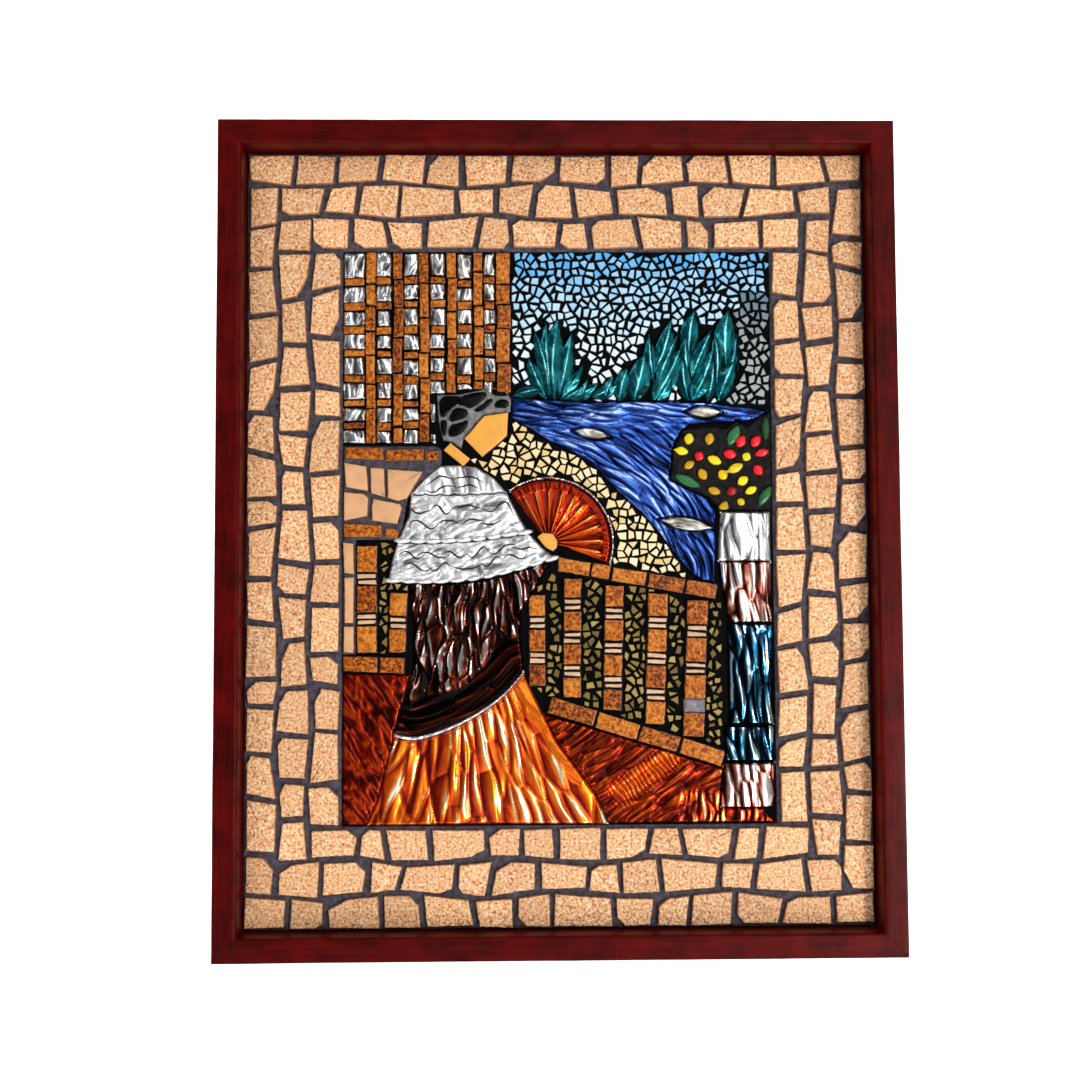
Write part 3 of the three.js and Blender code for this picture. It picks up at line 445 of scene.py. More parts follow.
def slab(pile, outline, relief, low, spacing=0.85, holes=(), tuck=1.6, lip=0.6):
    """A closed sheet over an outline, embossed to relief(points), which gives heights above low and tones.

    The sheet turns down to the height lip along its rims, and ends in walls and a flat back."""
    points, faces, loops = net(outline, spacing, holes)
    height, tone = relief(points)
    far = np.min([nearest_on(points, line)[0] for line in (outline, *holes)], 0)
    height = blend(lip, height, ease(far, -0.3 * tuck, tuck))
    count = len(points)
    rim = sum(len(loop) for loop in loops)
    back = triangles(points[:rim], loops, holes)[:, ::-1] + count
    walls = [
        [count + a, count + b, b, a] for loop in loops for a, b in zip(loop, loop[1:] + loop[:1])
    ]
    whole = np.concatenate([at_height(points, low + height), at_height(points[:rim], low)])
    pile.add(whole, [*faces.tolist(), *walls, *back.tolist()], np.r_[tone, np.zeros(rim)])


# ---------------------------------------------------------------- chips


def clipped(polygon, point, normal):
    """The part of a convex polygon behind the line through a point."""
    kept = []
    for a, b in zip(polygon, np.roll(polygon, -1, 0)):
        da, db = (a - point) @ normal, (b - point) @ normal
        if da <= 0:
            kept.append(a)
        if da * db < 0:
            kept.append(a + (b - a) * da / (da - db))
    return np.array(kept)


def merged(polygon, least):
    """A polygon with its shortest sides closed up."""
    while len(polygon) > 3:
        sides = np.hypot(*(np.roll(polygon, -1, 0) - polygon).T)
        k = int(sides.argmin())
        if sides[k] > least:
            break
        after = (k + 1) % len(polygon)
        polygon[k] = (polygon[k] + polygon[after]) / 2
        polygon = np.delete(polygon, after, 0)
    return polygon


def shards(field, size, gap, rng):
    """Irregular pieces that fill a field, each with three or four straight sides and a gap round it."""
    # Shares of a chip's size, the last one of its square. set_in is in millimetres.
    scatter, reach_share, near, short, stub, smallest = 0.42, 0.74, 2.4, 0.22, 0.18, 0.13
    corners, triangle_chance, set_in = 4, 0.06, 0.2
    low, high = field.min(0) - size, field.max(0) + size
    rows = np.arange(low[1], high[1], size)
    columns = np.arange(low[0], high[0], size)
    seeds = np.array([(x + (k % 2) * size / 2, y) for k, y in enumerate(rows) for x in columns])
    seeds = seeds + rng.uniform(-scatter, scatter, seeds.shape) * size
    found = []
    for here in seeds[inside(seeds, field)]:
        reach = size * reach_share * rng.uniform(0.85, 1.1)
        turn = rng.uniform(0, math.pi)
        spin = np.array([(math.cos(turn), math.sin(turn)), (-math.sin(turn), math.cos(turn))])
        cell = here + rectangle(-reach, -reach, reach, reach) @ spin
        for other in seeds[np.hypot(*(seeds - here).T) < size * near]:
            way = other - here
            length = float(np.hypot(*way))
            if length > 1e-6 and len(cell) > 2:
                cell = clipped(cell, (here + other) / 2 - way / length * gap * rng.uniform(0.2, 0.8), way)
        if len(cell) < 3:
            continue
        cell = merged(cell, size * short)
        while len(cell) > corners or (len(cell) > 3 and rng.random() < triangle_chance):
            # The corner that sticks out least breaks off.
            ears = np.stack([np.roll(cell, 1, 0), cell, np.roll(cell, -1, 0)], 1)
            cell = np.delete(cell, np.argmin([area(ear) for ear in ears]), 0)
        # A corner past the field's edge moves back to a little inside it.
        _, spot = nearest_on(cell, field)
        outside = ~inside(cell, field)
        if outside.any():
            way = here - spot
            way /= np.maximum(np.hypot(*way.T), 1e-6)[:, None]
            cell = np.where(outside[:, None], spot + way * set_in, cell)
            cell = merged(cell, size * stub)
        if area(cell) > smallest * size * size and inside(cell, field).all():
            found.append(cell)
    return found


# ---------------------------------------------------------------- node trees


def put(tree, kind, inputs=(), out=0, stops=(), **settings):
    """Adds a node with its settings, values, links and colour stops, and gives one of its outputs.

    inputs are values or other nodes' outputs, in the order of the node's own or by name or number."""
    node = tree.nodes.new(kind)
    for key, value in settings.items():
        setattr(node, key, value)
    for key, value in inputs.items() if isinstance(inputs, dict) else enumerate(inputs):
        if isinstance(value, bpy.types.NodeSocket):
            tree.links.new(value, node.inputs[key])
        else:
            node.inputs[key].default_value = value
    for k, (place, colour) in enumerate(stops):
        elements = node.color_ramp.elements
        element = elements[k] if k < len(elements) else elements.new(place)
        element.position = place
        element.color = rgba(colour)
    return node.outputs[out] if node.outputs else None


def opened_tree(name, inputs):
    """A geometry tree with named inputs, given as name: (kind, default), and their sockets by name."""
    tree = bpy.data.node_groups.new(name, "GeometryNodeTree")
    tree.is_modifier = True
    tree.interface.new_socket("Geometry", in_out="INPUT", socket_type="NodeSocketGeometry")
    for label, (kind, default) in inputs.items():
        socket = tree.interface.new_socket(label, in_out="INPUT", socket_type="NodeSocket" + kind)
        if default is not None:
            socket.default_value = default
    tree.interface.new_socket("Geometry", in_out="OUTPUT", socket_type="NodeSocketGeometry")
    start = tree.nodes.new("NodeGroupInput")
    return tree, {socket.name: socket for socket in start.outputs if socket.name}


def closed_tree(tree, geometry, material):
    """Ends a geometry tree in real geometry with its material."""
    real = put(tree, "GeometryNodeRealizeInstances", [geometry])
    smooth = put(tree, "GeometryNodeSetShadeSmooth", [real])
    painted = put(tree, "GeometryNodeSetMaterial", {0: smooth, "Material": material})
    put(tree, "NodeGroupOutput", [painted])


def grown_from(name, tree, data, values, slot, *nodes):
    """Runs a geometry tree on a mesh or curve with some input values, and keeps the result as a piece."""
    holder = bpy.data.objects.new(name + "_source", data)
    bpy.context.scene.collection.objects.link(holder)
    modifier = holder.modifiers.new(tree.name, "NODES")
    modifier.node_group = tree
    for item in tree.interface.items_tree:
        if item.in_out == "INPUT" and item.name in values:
            modifier[item.identifier] = values[item.name]
    graph = bpy.context.evaluated_depsgraph_get()
    mesh = bpy.data.meshes.new_from_object(holder.evaluated_get(graph))
    bpy.data.objects.remove(holder)
    if not mesh.polygons:
        raise RuntimeError(name + " came out empty")
    mesh.name = name
    return placed(name, mesh, slot, *nodes)


def curves_through(name, lines):
    """Curve data with one straight-segment spline through each line of x, y and height points."""
    data = bpy.data.curves.new(name, "CURVE")
    data.dimensions = "3D"
    for line in lines:
        spline = data.splines.new("POLY")
        spline.points.add(len(line) - 1)
        for point, (x, y, height) in zip(spline.points, line):
            point.co = (x * MM, -height * MM, y * MM, 1)
    return data


def scallops_tree():
    """Flat lobes side by side along a line, as the rolled edge of a scalloped hem has."""
    tree, given = opened_tree(
        "scalloped_edge",
        {
            "Pitch": ("Float", 0.01),
            "Depth": ("Float", 0.003),
            "Rise": ("Float", 0.002),
            "Fill": ("Float", 0.5),
            "Seed": ("Int", 1),
            "Material": ("Material", None),
        },
    )
    line = {"Curve": given["Geometry"], "Length": given["Pitch"]}
    dots = put(tree, "GeometryNodeResampleCurve", line, mode="LENGTH")
    tangent = put(tree, "GeometryNodeInputTangent")
    turned = put(tree, "FunctionNodeAlignRotationToVector", {"Vector": tangent}, axis="X", pivot_axis="Y")
    lobe = put(tree, "GeometryNodeMeshUVSphere", {"Segments": 14, "Rings": 8, "Radius": 1.0})
    chance = {2: 0.85, 3: 1.12, "Seed": given["Seed"]}
    vary = put(tree, "FunctionNodeRandomValue", chance, out=1, data_type="FLOAT")
    half = put(tree, "ShaderNodeMath", [given["Pitch"], given["Fill"]], operation="MULTIPLY")
    length = put(tree, "ShaderNodeMath", [half, vary], operation="MULTIPLY")
    rise = put(tree, "ShaderNodeMath", [given["Rise"], 0.5], operation="MULTIPLY")
    depth = put(tree, "ShaderNodeMath", [given["Depth"], 0.5], operation="MULTIPLY")
    size = put(tree, "ShaderNodeCombineXYZ", [length, rise, depth])
    stood = {"Points": dots, "Instance": lobe, "Rotation": turned, "Scale": size}
    lobes = put(tree, "GeometryNodeInstanceOnPoints", stood)
    toned = {"Geometry": lobes, "Name": "tone", "Value": 0.85}
    lobes = put(tree, "GeometryNodeStoreNamedAttribute", toned, data_type="FLOAT", domain="INSTANCE")
    closed_tree(tree, lobes, given["Material"])
    return tree


def strokes_tree():
    """A thin raised line of marker along each curve."""
    tree, given = opened_tree(
        "marker_strokes", {"Radius": ("Float", 0.0004), "Material": ("Material", None)}
    )
    profile = put(tree, "GeometryNodeCurvePrimitiveCircle", {"Resolution": 6, "Radius": given["Radius"]})
    share = put(tree, "GeometryNodeSplineParameter", out="Factor")
    # A stroke starts and ends thin.
    turn = put(tree, "ShaderNodeMath", [share, math.pi], operation="MULTIPLY")
    bow = put(tree, "ShaderNodeMath", [turn], operation="SINE")
    swell = put(tree, "ShaderNodeMath", [bow, 0.8, 0.35], operation="MULTIPLY_ADD")
    drawn = {"Curve": given["Geometry"], "Profile Curve": profile, "Scale": swell, "Fill Caps": True}
    closed_tree(tree, put(tree, "GeometryNodeCurveToMesh", drawn), given["Material"])
    return tree


def ribs_tree():
    """Tapered ribs spread like a hand fan's, thin at the centre and wide and round at the far end."""
    tree, given = opened_tree(
        "fan_ribs",
        {
            "Count": ("Int", 10),
            "Centre": ("Vector", (0.0, 0.0, 0.0)),
            "First Angle": ("Float", 0.0),
            "Last Angle": ("Float", 2.0),
            "Inner Radius": ("Float", 0.008),
            "Outer Radius": ("Float", 0.037),
            "Half Width": ("Float", 0.002),
            "Seed": ("Int", 4),
            "Material": ("Material", None),
        },
    )
    start = put(tree, "ShaderNodeCombineXYZ", [given["Inner Radius"]])
    end = put(tree, "ShaderNodeCombineXYZ", [given["Outer Radius"]])
    line = put(tree, "GeometryNodeCurvePrimitiveLine", {"Start": start, "End": end})
    spaced = put(tree, "GeometryNodeResampleCurve", {"Curve": line, "Count": 12})
    share = put(tree, "GeometryNodeSplineParameter", out="Factor")
    shade = put(tree, "ShaderNodeMath", [share, 0.2, 0.5], operation="MULTIPLY_ADD")
    toned = {"Geometry": spaced, "Name": "tone", "Value": shade}
    toned = put(tree, "GeometryNodeStoreNamedAttribute", toned, data_type="FLOAT", domain="POINT")
    # The width climbs almost to the far end and then closes in a round tip.
    far = put(tree, "ShaderNodeMath", [share, 9.0], operation="POWER")
    left = put(tree, "ShaderNodeMath", [1.0, far], operation="SUBTRACT")
    closing = put(tree, "ShaderNodeMath", [left], operation="SQRT")
    taper = put(tree, "ShaderNodeMath", [share, 0.76, 0.24], operation="MULTIPLY_ADD")
    width = put(tree, "ShaderNodeMath", [taper, closing], operation="MULTIPLY")
    round_rib = {"Resolution": 8, "Radius": given["Half Width"]}
    profile = put(tree, "GeometryNodeCurvePrimitiveCircle", round_rib)
    swept = {"Curve": toned, "Profile Curve": profile, "Scale": width, "Fill Caps": True}
    rib = put(tree, "GeometryNodeCurveToMesh", swept)
    row = {"Count": given["Count"], "Start Location": given["Centre"], "Offset": (0, 0, 0)}
    spots = put(tree, "GeometryNodeMeshLine", row)
    chance = {2: 0.42, 3: 0.58, "Seed": given["Seed"]}
    vary = put(tree, "FunctionNodeRandomValue", chance, out=1, data_type="FLOAT")
    place = put(tree, "ShaderNodeMath", [put(tree, "GeometryNodeInputIndex"), vary], operation="ADD")
    place = put(tree, "ShaderNodeMath", [place, given["Count"]], operation="DIVIDE")
    spread = put(tree, "ShaderNodeMath", [given["Last Angle"], given["First Angle"]], operation="SUBTRACT")
    angle = put(tree, "ShaderNodeMath", [place, spread, given["First Angle"]], operation="MULTIPLY_ADD")
    back = put(tree, "ShaderNodeMath", [angle, -1.0], operation="MULTIPLY")
    turn = put(tree, "ShaderNodeCombineXYZ", {"Y": back})
    turned = put(tree, "FunctionNodeEulerToRotation", [turn])
    fan = {"Points": spots, "Instance": rib, "Rotation": turned}
    closed_tree(tree, put(tree, "GeometryNodeInstanceOnPoints", fan), given["Material"])
    return tree


def grit_tree():
    """Grains of sand that stand half out of a cement surface on its front."""
    tree, given = opened_tree(
        "sand_in_cement",
        {
            "Grains per m2": ("Float", 20000.0),
            "Grain Radius": ("Float", 0.0003),
            "Seed": ("Int", 8),
            "Material": ("Material", None),
        },
    )
    facing = put(tree, "ShaderNodeSeparateXYZ", [put(tree, "GeometryNodeInputNormal")], out="Y")
    front = put(tree, "FunctionNodeCompare", [facing, -0.6], data_type="FLOAT", operation="LESS_THAN")
    strewn = {
        "Mesh": given["Geometry"],
        "Selection": front,
        "Density": given["Grains per m2"],
        "Seed": given["Seed"],
    }
    spots = put(tree, "GeometryNodeDistributePointsOnFaces", strewn)
    ball = {"Radius": given["Grain Radius"], "Subdivisions": 1}
    grain = put(tree, "GeometryNodeMeshIcoSphere", ball)
    chance = {2: 0.4, 3: 1.3, "Seed": given["Seed"]}
    size = put(tree, "FunctionNodeRandomValue", chance, out=1, data_type="FLOAT")
    stood = {"Points": spots, "Instance": grain, "Scale": size}
    closed_tree(tree, put(tree, "GeometryNodeInstanceOnPoints", stood), given["Material"])
    return tree


# ---------------------------------------------------------------- materials


def new_material(name):
    """An empty material and its node tree."""
    made = bpy.data.materials.new(name)
    made.use_nodes = True
    made.node_tree.nodes.clear()
    return made, made.node_tree


def speckled_floor_tile(colours):
    """Porcelain floor tile fired with a speckled body: dry, sandy and peach, with rougher, browner sides."""
    made, tree = new_material("speckled_floor_tile")
    spot = put(tree, "ShaderNodeTexCoord", out="Object")
    tone = put(tree, "ShaderNodeAttribute", out="Fac", attribute_name="tone")
    side = put(tree, "ShaderNodeAttribute", out="Fac", attribute_name="side")
    grains = {"Vector": spot, "Scale": 1 / (1.9 * MM), "Detail": 2, "Roughness": 0.6}
    speck = put(
        tree,
        "ShaderNodeValToRGB",
        [put(tree, "ShaderNodeTexNoise", grains)],
        stops=[
            (0.34, colours.speck_dark),
            (0.46, colours.tile),
            (0.53, colours.tile),
            (0.64, colours.speck_light),
        ],
    )
    dimmed = put(tree, "ShaderNodeMath", [tone, 0.26, 0.85], operation="MULTIPLY_ADD")
    shade = put(tree, "ShaderNodeCombineColor", [dimmed, dimmed, dimmed])
    shaded = {0: 1.0, 6: speck, 7: shade}
    body = put(tree, "ShaderNodeMix", shaded, out=2, data_type="RGBA", blend_type="MULTIPLY")
    # Painted shade: the tiles' pits darken along the frame, where the rails shade the border, and the
    # darkening thins out within about 20 mm of it.
    beyond = []
    for axis, limit in (("X", colours.unshaded_half_width), ("Z", colours.unshaded_half_height)):
        offset = put(tree, "ShaderNodeSeparateXYZ", [spot], out=axis)
        offset = put(tree, "ShaderNodeMath", [offset], operation="ABSOLUTE")
        beyond.append(put(tree, "ShaderNodeMath", [offset, limit * MM], operation="SUBTRACT"))
    nearness = put(tree, "ShaderNodeMath", beyond, operation="MAXIMUM")
    rail_shade = put(tree, "ShaderNodeMapRange", [nearness, 0.0, 22 * MM, 0.0, 1.0])
    pits = put(
        tree,
        "ShaderNodeValToRGB",
        [put(tree, "ShaderNodeTexNoise", {"Vector": spot, "Scale": 1 / (1.3 * MM)})],
        stops=[(0.34, "#FFFFFF"), (0.42, "#000000")],
    )
    pit_shade = put(tree, "ShaderNodeMath", [pits, rail_shade], operation="MULTIPLY")
    top = put(tree, "ShaderNodeMix", {0: pit_shade, 6: body, 7: rgba("#241A14")}, out=2, data_type="RGBA")
    colour = put(tree, "ShaderNodeMix", {0: side, 6: top, 7: rgba("#B9835C")}, out=2, data_type="RGBA")
    sand = put(tree, "ShaderNodeTexNoise", {"Vector": spot, "Scale": 1 / (0.9 * MM)})
    bump = put(tree, "ShaderNodeBump", {"Height": sand, "Distance": 0.15 * MM, "Strength": 0.5})
    surface = {"Base Color": colour, "Roughness": 0.6, "Normal": bump}
    put(tree, "ShaderNodeOutputMaterial", [put(tree, "ShaderNodeBsdfPrincipled", surface)])
    return made


def cement(name, dark, light, shine=0.3):
    """Cement pressed between the pieces: matt, sandy and uneven in colour."""
    made, tree = new_material(name)
    spot = put(tree, "ShaderNodeTexCoord", out="Object")
    cloud = {"Vector": spot, "Scale": 1 / (4.5 * MM), "Detail": 5, "Roughness": 0.7}
    cloud = put(tree, "ShaderNodeTexNoise", cloud)
    colour = put(tree, "ShaderNodeValToRGB", [cloud], stops=[(0.32, dark), (0.7, light)])
    sand = put(tree, "ShaderNodeTexNoise", {"Vector": spot, "Scale": 1 / (0.9 * MM), "Detail": 3})
    bump = put(tree, "ShaderNodeBump", {"Height": sand, "Distance": 0.3 * MM, "Strength": 0.8})
    surface = {"Base Color": colour, "Roughness": 0.93, "Specular IOR Level": shine, "Normal": bump}
    put(tree, "ShaderNodeOutputMaterial", [put(tree, "ShaderNodeBsdfPrincipled", surface)])
    return made


def mottled_glaze(colours):
    """Glazed strip tile whose glaze broke into orange and brown clouds as it cooled, with a soft gloss."""
    made, tree = new_material("mottled_glaze")
    spot = put(tree, "ShaderNodeTexCoord", out="Object")
    tone = put(tree, "ShaderNodeAttribute", out="Fac", attribute_name="tone")
    side = put(tree, "ShaderNodeAttribute", out="Fac", attribute_name="side")
    clouds = {"Vector": spot, "Scale": 1 / (2.4 * MM), "Detail": 4, "Roughness": 0.72}
    clouds = put(tree, "ShaderNodeTexNoise", clouds)
    clouds = put(tree, "ShaderNodeMath", [tone, 0.14, clouds], operation="MULTIPLY_ADD")
    glaze = put(
        tree,
        "ShaderNodeValToRGB",
        [clouds],
        stops=[(0.43, "#3A1503"), (0.51, colours.glaze_dark), (0.65, colours.glaze_light), (0.84, "#E8A552")],
    )
    colour = put(tree, "ShaderNodeMix", {0: side, 6: glaze, 7: rgba("#B07440")}, out=2, data_type="RGBA")
    surface = {"Base Color": colour, "Roughness": 0.36, "Specular IOR Level": 0.22, "Coat Weight": 0.06}
    put(tree, "ShaderNodeOutputMaterial", [put(tree, "ShaderNodeBsdfPrincipled", surface)])
    return made


def plain_tile(name, colour, side_colour="#C79A78", roughness=0.42, cloudy=0.07, shine=0.5):
    """Plain-coloured tile: an even, slightly cloudy glaze and paler fired sides."""
    made, tree = new_material(name)
    spot = put(tree, "ShaderNodeTexCoord", out="Object")
    tone = put(tree, "ShaderNodeAttribute", out="Fac", attribute_name="tone")
    side = put(tree, "ShaderNodeAttribute", out="Fac", attribute_name="side")
    deep = [c * (1 - cloudy * 3) for c in linear(colour)]
    pale = [min(1.0, c * (1 + cloudy * 2)) for c in linear(colour)]
    cloud = put(tree, "ShaderNodeTexNoise", {"Vector": spot, "Scale": 1 / (7 * MM), "Detail": 3})
    cloud = put(tree, "ShaderNodeMath", [tone, 0.3, cloud], operation="MULTIPLY_ADD")
    top = put(tree, "ShaderNodeValToRGB", [cloud], stops=[(0.4, deep), (0.9, pale)])
    body = put(tree, "ShaderNodeMix", {0: side, 6: top, 7: rgba(side_colour)}, out=2, data_type="RGBA")
    surface = {"Base Color": body, "Roughness": roughness, "Specular IOR Level": shine}
    put(tree, "ShaderNodeOutputMaterial", [put(tree, "ShaderNodeBsdfPrincipled", surface)])
    return made


def snipped_enamel(name, side_colour, stops, roughness=0.36):
    """Pieces snipped from enamelled sheet: each one flat colour, picked by its tone, under a light gloss."""
    made, tree = new_material(name)
    tone = put(tree, "ShaderNodeAttribute", out="Fac", attribute_name="tone")
    side = put(tree, "ShaderNodeAttribute", out="Fac", attribute_name="side")
    top = put(tree, "ShaderNodeValToRGB", [tone], stops=stops)
    body = put(tree, "ShaderNodeMix", {0: side, 6: top, 7: rgba(side_colour)}, out=2, data_type="RGBA")
    surface = {"Base Color": body, "Roughness": roughness, "Specular IOR Level": 0.3, "Coat Weight": 0.06}
    put(tree, "ShaderNodeOutputMaterial", [put(tree, "ShaderNodeBsdfPrincipled", surface)])
    return made


def lacquered_foil(name, stops, roughness=0.24, size=9.0, cloudy=0.3, metallic=1.0):
    """Thin aluminium foil under lacquer: mirror-bright on the folds, deeper where the lacquer pooled and
    where the tone paints shade in the hollows.
    """
    made, tree = new_material(name)
    spot = put(tree, "ShaderNodeTexCoord", out="Object")
    tone = put(tree, "ShaderNodeAttribute", out="Fac", attribute_name="tone")
    cloud = put(tree, "ShaderNodeTexNoise", {"Vector": spot, "Scale": 1 / (size * MM), "Detail": 3})
    cloud = put(tree, "ShaderNodeMath", [cloud, cloudy, -cloudy / 2], operation="MULTIPLY_ADD")
    lit = put(tree, "ShaderNodeMath", [tone, cloud], operation="ADD")
    surface = {
        "Base Color": put(tree, "ShaderNodeValToRGB", [lit], stops=stops),
        "Metallic": metallic,
        "Roughness": roughness,
        "Coat Weight": 0.12,
        "Coat Roughness": 0.1,
    }
    put(tree, "ShaderNodeOutputMaterial", [put(tree, "ShaderNodeBsdfPrincipled", surface)])
    return made


def painted_wood(colours):
    """Oil paint brushed along moulded wood: deep maroon with faint long streaks and a satin shine."""
    made, tree = new_material("maroon_paint_on_wood")
    run = put(tree, "ShaderNodeAttribute", out="Vector", attribute_name="run")
    streaks = put(tree, "ShaderNodeMapping", {"Vector": run, "Scale": (0.04, 1.0, 1.0)})
    brushed = {"Vector": streaks, "Scale": 1 / (1.6 * MM), "Detail": 3, "Roughness": 0.6}
    fine = put(tree, "ShaderNodeTexNoise", brushed)
    spot = put(tree, "ShaderNodeTexCoord", out="Object")
    cloud = {"Vector": spot, "Scale": 1 / (24 * MM), "Detail": 4, "Roughness": 0.6}
    cloud = put(tree, "ShaderNodeTexNoise", cloud)
    lit = put(tree, "ShaderNodeMath", [fine, cloud], operation="ADD")
    lit = put(tree, "ShaderNodeMath", [lit, 0.5], operation="MULTIPLY")
    paint = put(
        tree, "ShaderNodeValToRGB", [lit], stops=[(0.36, colours.paint_dark), (0.66, colours.paint_light)]
    )
    bump = put(tree, "ShaderNodeBump", {"Height": fine, "Distance": 0.08 * MM, "Strength": 0.35})
    surface = {
        "Base Color": paint,
        "Roughness": 0.4,
        "Specular IOR Level": 0.07,
        "Coat Weight": 0.01,
        "Coat Roughness": 0.2,
        "Normal": bump,
    }
    put(tree, "ShaderNodeOutputMaterial", [put(tree, "ShaderNodeBsdfPrincipled", surface)])
    return made


def bare_plywood():
    """Unfinished plywood: dull, warm and streaked along its grain."""
    made, tree = new_material("bare_plywood")
    spot = put(tree, "ShaderNodeTexCoord", out="Object")
    grain = put(tree, "ShaderNodeMapping", {"Vector": spot, "Scale": (1.0, 1.0, 0.06)})
    streaked = {"Vector": grain, "Scale": 1 / (3.5 * MM), "Detail": 6, "Roughness": 0.65}
    streaked = put(tree, "ShaderNodeTexNoise", streaked)
    wood = put(tree, "ShaderNodeValToRGB", [streaked], stops=[(0.3, "#8A6440"), (0.7, "#C79E6C")])
    surface = {"Base Color": wood, "Roughness": 0.8}
    put(tree, "ShaderNodeOutputMaterial", [put(tree, "ShaderNodeBsdfPrincipled", surface)])
    return made


# ---------------------------------------------------------------- settings


def colour_setting(name, description, hex_colour):
    default = linear(hex_colour)
    return FloatVectorProperty(
        name=name, description=description, subtype="COLOR", size=3, min=0.0, max=1.0, default=default
    )


def millimetres(name, description, default, least=0.0, most=100.0):
    return FloatProperty(name=name, description=description, default=default, min=least, max=most)


class MosaicFrameSettings(bpy.types.PropertyGroup):
    paint_dark: colour_setting("Paint, dark", "Darker streaks of the frame's paint", "#2E0201")
    paint_light: colour_setting("Paint, light", "Lighter streaks of the frame's paint", "#640503")
    face: millimetres("Rail face", "Width of a rail's face, in mm", 18.0)
    inner_round: millimetres("Inner arris", "Radius of the inner edge, in mm", 2.5)
    outer_round: millimetres("Outer arris", "Radius of the outer edge, in mm", 1.2)


class MosaicTileSettings(bpy.types.PropertyGroup):
    tile: colour_setting("Tile", "Body colour of the broken floor tile", "#F6B57C")
    speck_dark: colour_setting("Dark specks", "Dark specks in the floor tile", "#AE6238")
    speck_light: colour_setting("Light specks", "Light specks in the floor tile", "#FFE8C2")
    grout_dark: colour_setting("Grout, dark", "Damp parts of the grout", "#29262C")
    grout_light: colour_setting("Grout, light", "Dry parts of the grout", "#655F69")
    glaze_dark: colour_setting("Glaze, dark", "Brown clouds of the mottled glaze", "#8C3A06")
    glaze_light: colour_setting("Glaze, light", "Orange clouds of the mottled glaze", "#CE761A")
    worn_edge: millimetres("Worn edge", "Width of the worn edge round a floor tile, in mm", 0.7)
    # How far from the middle the painted shade along the frame begins.
    unshaded_half_width: millimetres("Unshaded half width", "Painted shade starts this far from the middle", 208, 0, 999)
    unshaded_half_height: millimetres("Unshaded half height", "The same, up and down, in mm", 264, 0, 999)


class MosaicChipSettings(bpy.types.PropertyGroup):
    size: millimetres("Chip size", "Distance between the middles of neighbouring chips, in mm", 6.2, 2, 20)
    gap: millimetres("Gap", "Gap between chips, in mm", 1.75)
    clear: millimetres("Clearance", "From a leaf to the middle of the nearest chip, in mm", 2.2)
    sky_high: colour_setting("High sky", "Chips at the top of the sky", "#4CB4FA")
    sky_low: colour_setting("Low sky", "Chips near the water", "#CAEAFA")
    # The darker, greyer chips along the sky's right side are painted shade.
    sky_grey: colour_setting("Grey sky", "Chips along the right side of the sky", "#55788E")
    sand: colour_setting("Sand", "Chips of the beach", "#FAE4AC")
    garden: colour_setting("Garden", "Chips between the balusters", "#8E7630")


class MosaicFoilSettings(bpy.types.PropertyGroup):
    spacing: millimetres("Mesh spacing", "Distance between points of an embossed sheet", 0.85, 0.4, 5)
    fold: millimetres("Orange fold", "Width of a pleat of the lower skirt, in mm", 8.0, 1, 20)
    dark_fold: millimetres("Dark fold", "Width of a fold of the upper skirt, in mm", 7.0, 1, 20)
    wave: millimetres("River wave", "Width of a wave of the river, in mm", 4.8, 1, 20)
    ribs: IntProperty(name="Fan ribs", description="Number of ribs of the fan", default=10, min=2, max=40)
    scallop: millimetres("Scallop", "Distance between the scallops of a hem, in mm", 11.0, 2, 40)


class MosaicStageSettings(bpy.types.PropertyGroup):
    key_power: FloatProperty(name="Key light", description="Power of the key", default=27.0, unit="POWER")
    fill_power: FloatProperty(name="Fill light", description="Power of the fill", default=5.0, unit="POWER")
    soft_power: FloatProperty(
        name="Softbox", description="Power of the wide soft light in front", default=18.0, unit="POWER"
    )
    floor: colour_setting("Floor", "Colour of the floor and backdrop", "#F4F4F4")


class MosaicSettings(bpy.types.PropertyGroup):
    frame: PointerProperty(type=MosaicFrameSettings)
    tiles: PointerProperty(type=MosaicTileSettings)
    chips: PointerProperty(type=MosaicChipSettings)
    foil: PointerProperty(type=MosaicFoilSettings)
    stage: PointerProperty(type=MosaicStageSettings)


def settings():
    return bpy.context.scene.mosaic_panel


MADE = {}


def known(name, make, *values, **keywords):
    """This script's material of this name, made the first time that it is wanted."""
    if name not in MADE:
        MADE[name] = make(*values, **keywords)
    return MADE[name]


def floor_tile():
    return known("speckled_floor_tile", speckled_floor_tile, settings().tiles)


def strip_tile():
    return known("mottled_glaze", mottled_glaze, settings().tiles)


def grey_grout():
    tiles = settings().tiles
    return known("grey_cement_grout", cement, "grey_cement_grout", tiles.grout_dark, tiles.grout_light)


def sliver_tile():
    return known("cream_biscuit_tile", plain_tile, "cream_biscuit_tile", "#DFB792", "#B98B66", 0.55)


def ochre_tile():
    return known("ochre_glazed_tile", plain_tile, "ochre_glazed_tile", "#F5AE42", "#D79A78", 0.34, 0.03)


def foil_of(name, *stops, **keywords):
    return known(name, lacquered_foil, name, stops, **keywords)


def bright_foil():
    """Bare aluminium foil, bright on the folds, with painted shade greying the creases."""
    return foil_of(
        "bare_aluminium_foil", (0.08, "#5E5A58"), (0.35, "#A8A5A4"), (0.7, "#F4F4F6"), roughness=0.24
    )


def pearl_foil():
    """White-lacquered foil, pearly and soft, with painted shade greying its hollows."""
    return foil_of(
        "white_lacquered_foil",
        (0.03, "#86868A"),
        (0.18, "#C8C8CB"),
        (0.44, "#F6F5F7"),
        (0.8, "#FFFFFF"),
        roughness=0.3,
        cloudy=0.1,
        metallic=0.78,
    )


def copper_lacquer():
    """Rose-copper lacquer on foil, dark brown in the folds and almost white on their crests."""
    return foil_of(
        "rose_copper_foil",
        (0.12, "#2E120C"),
        (0.38, "#A05040"),
        (0.6, "#F4C2B2"),
        (0.85, "#FFFFFF"),
        roughness=0.22,
    )


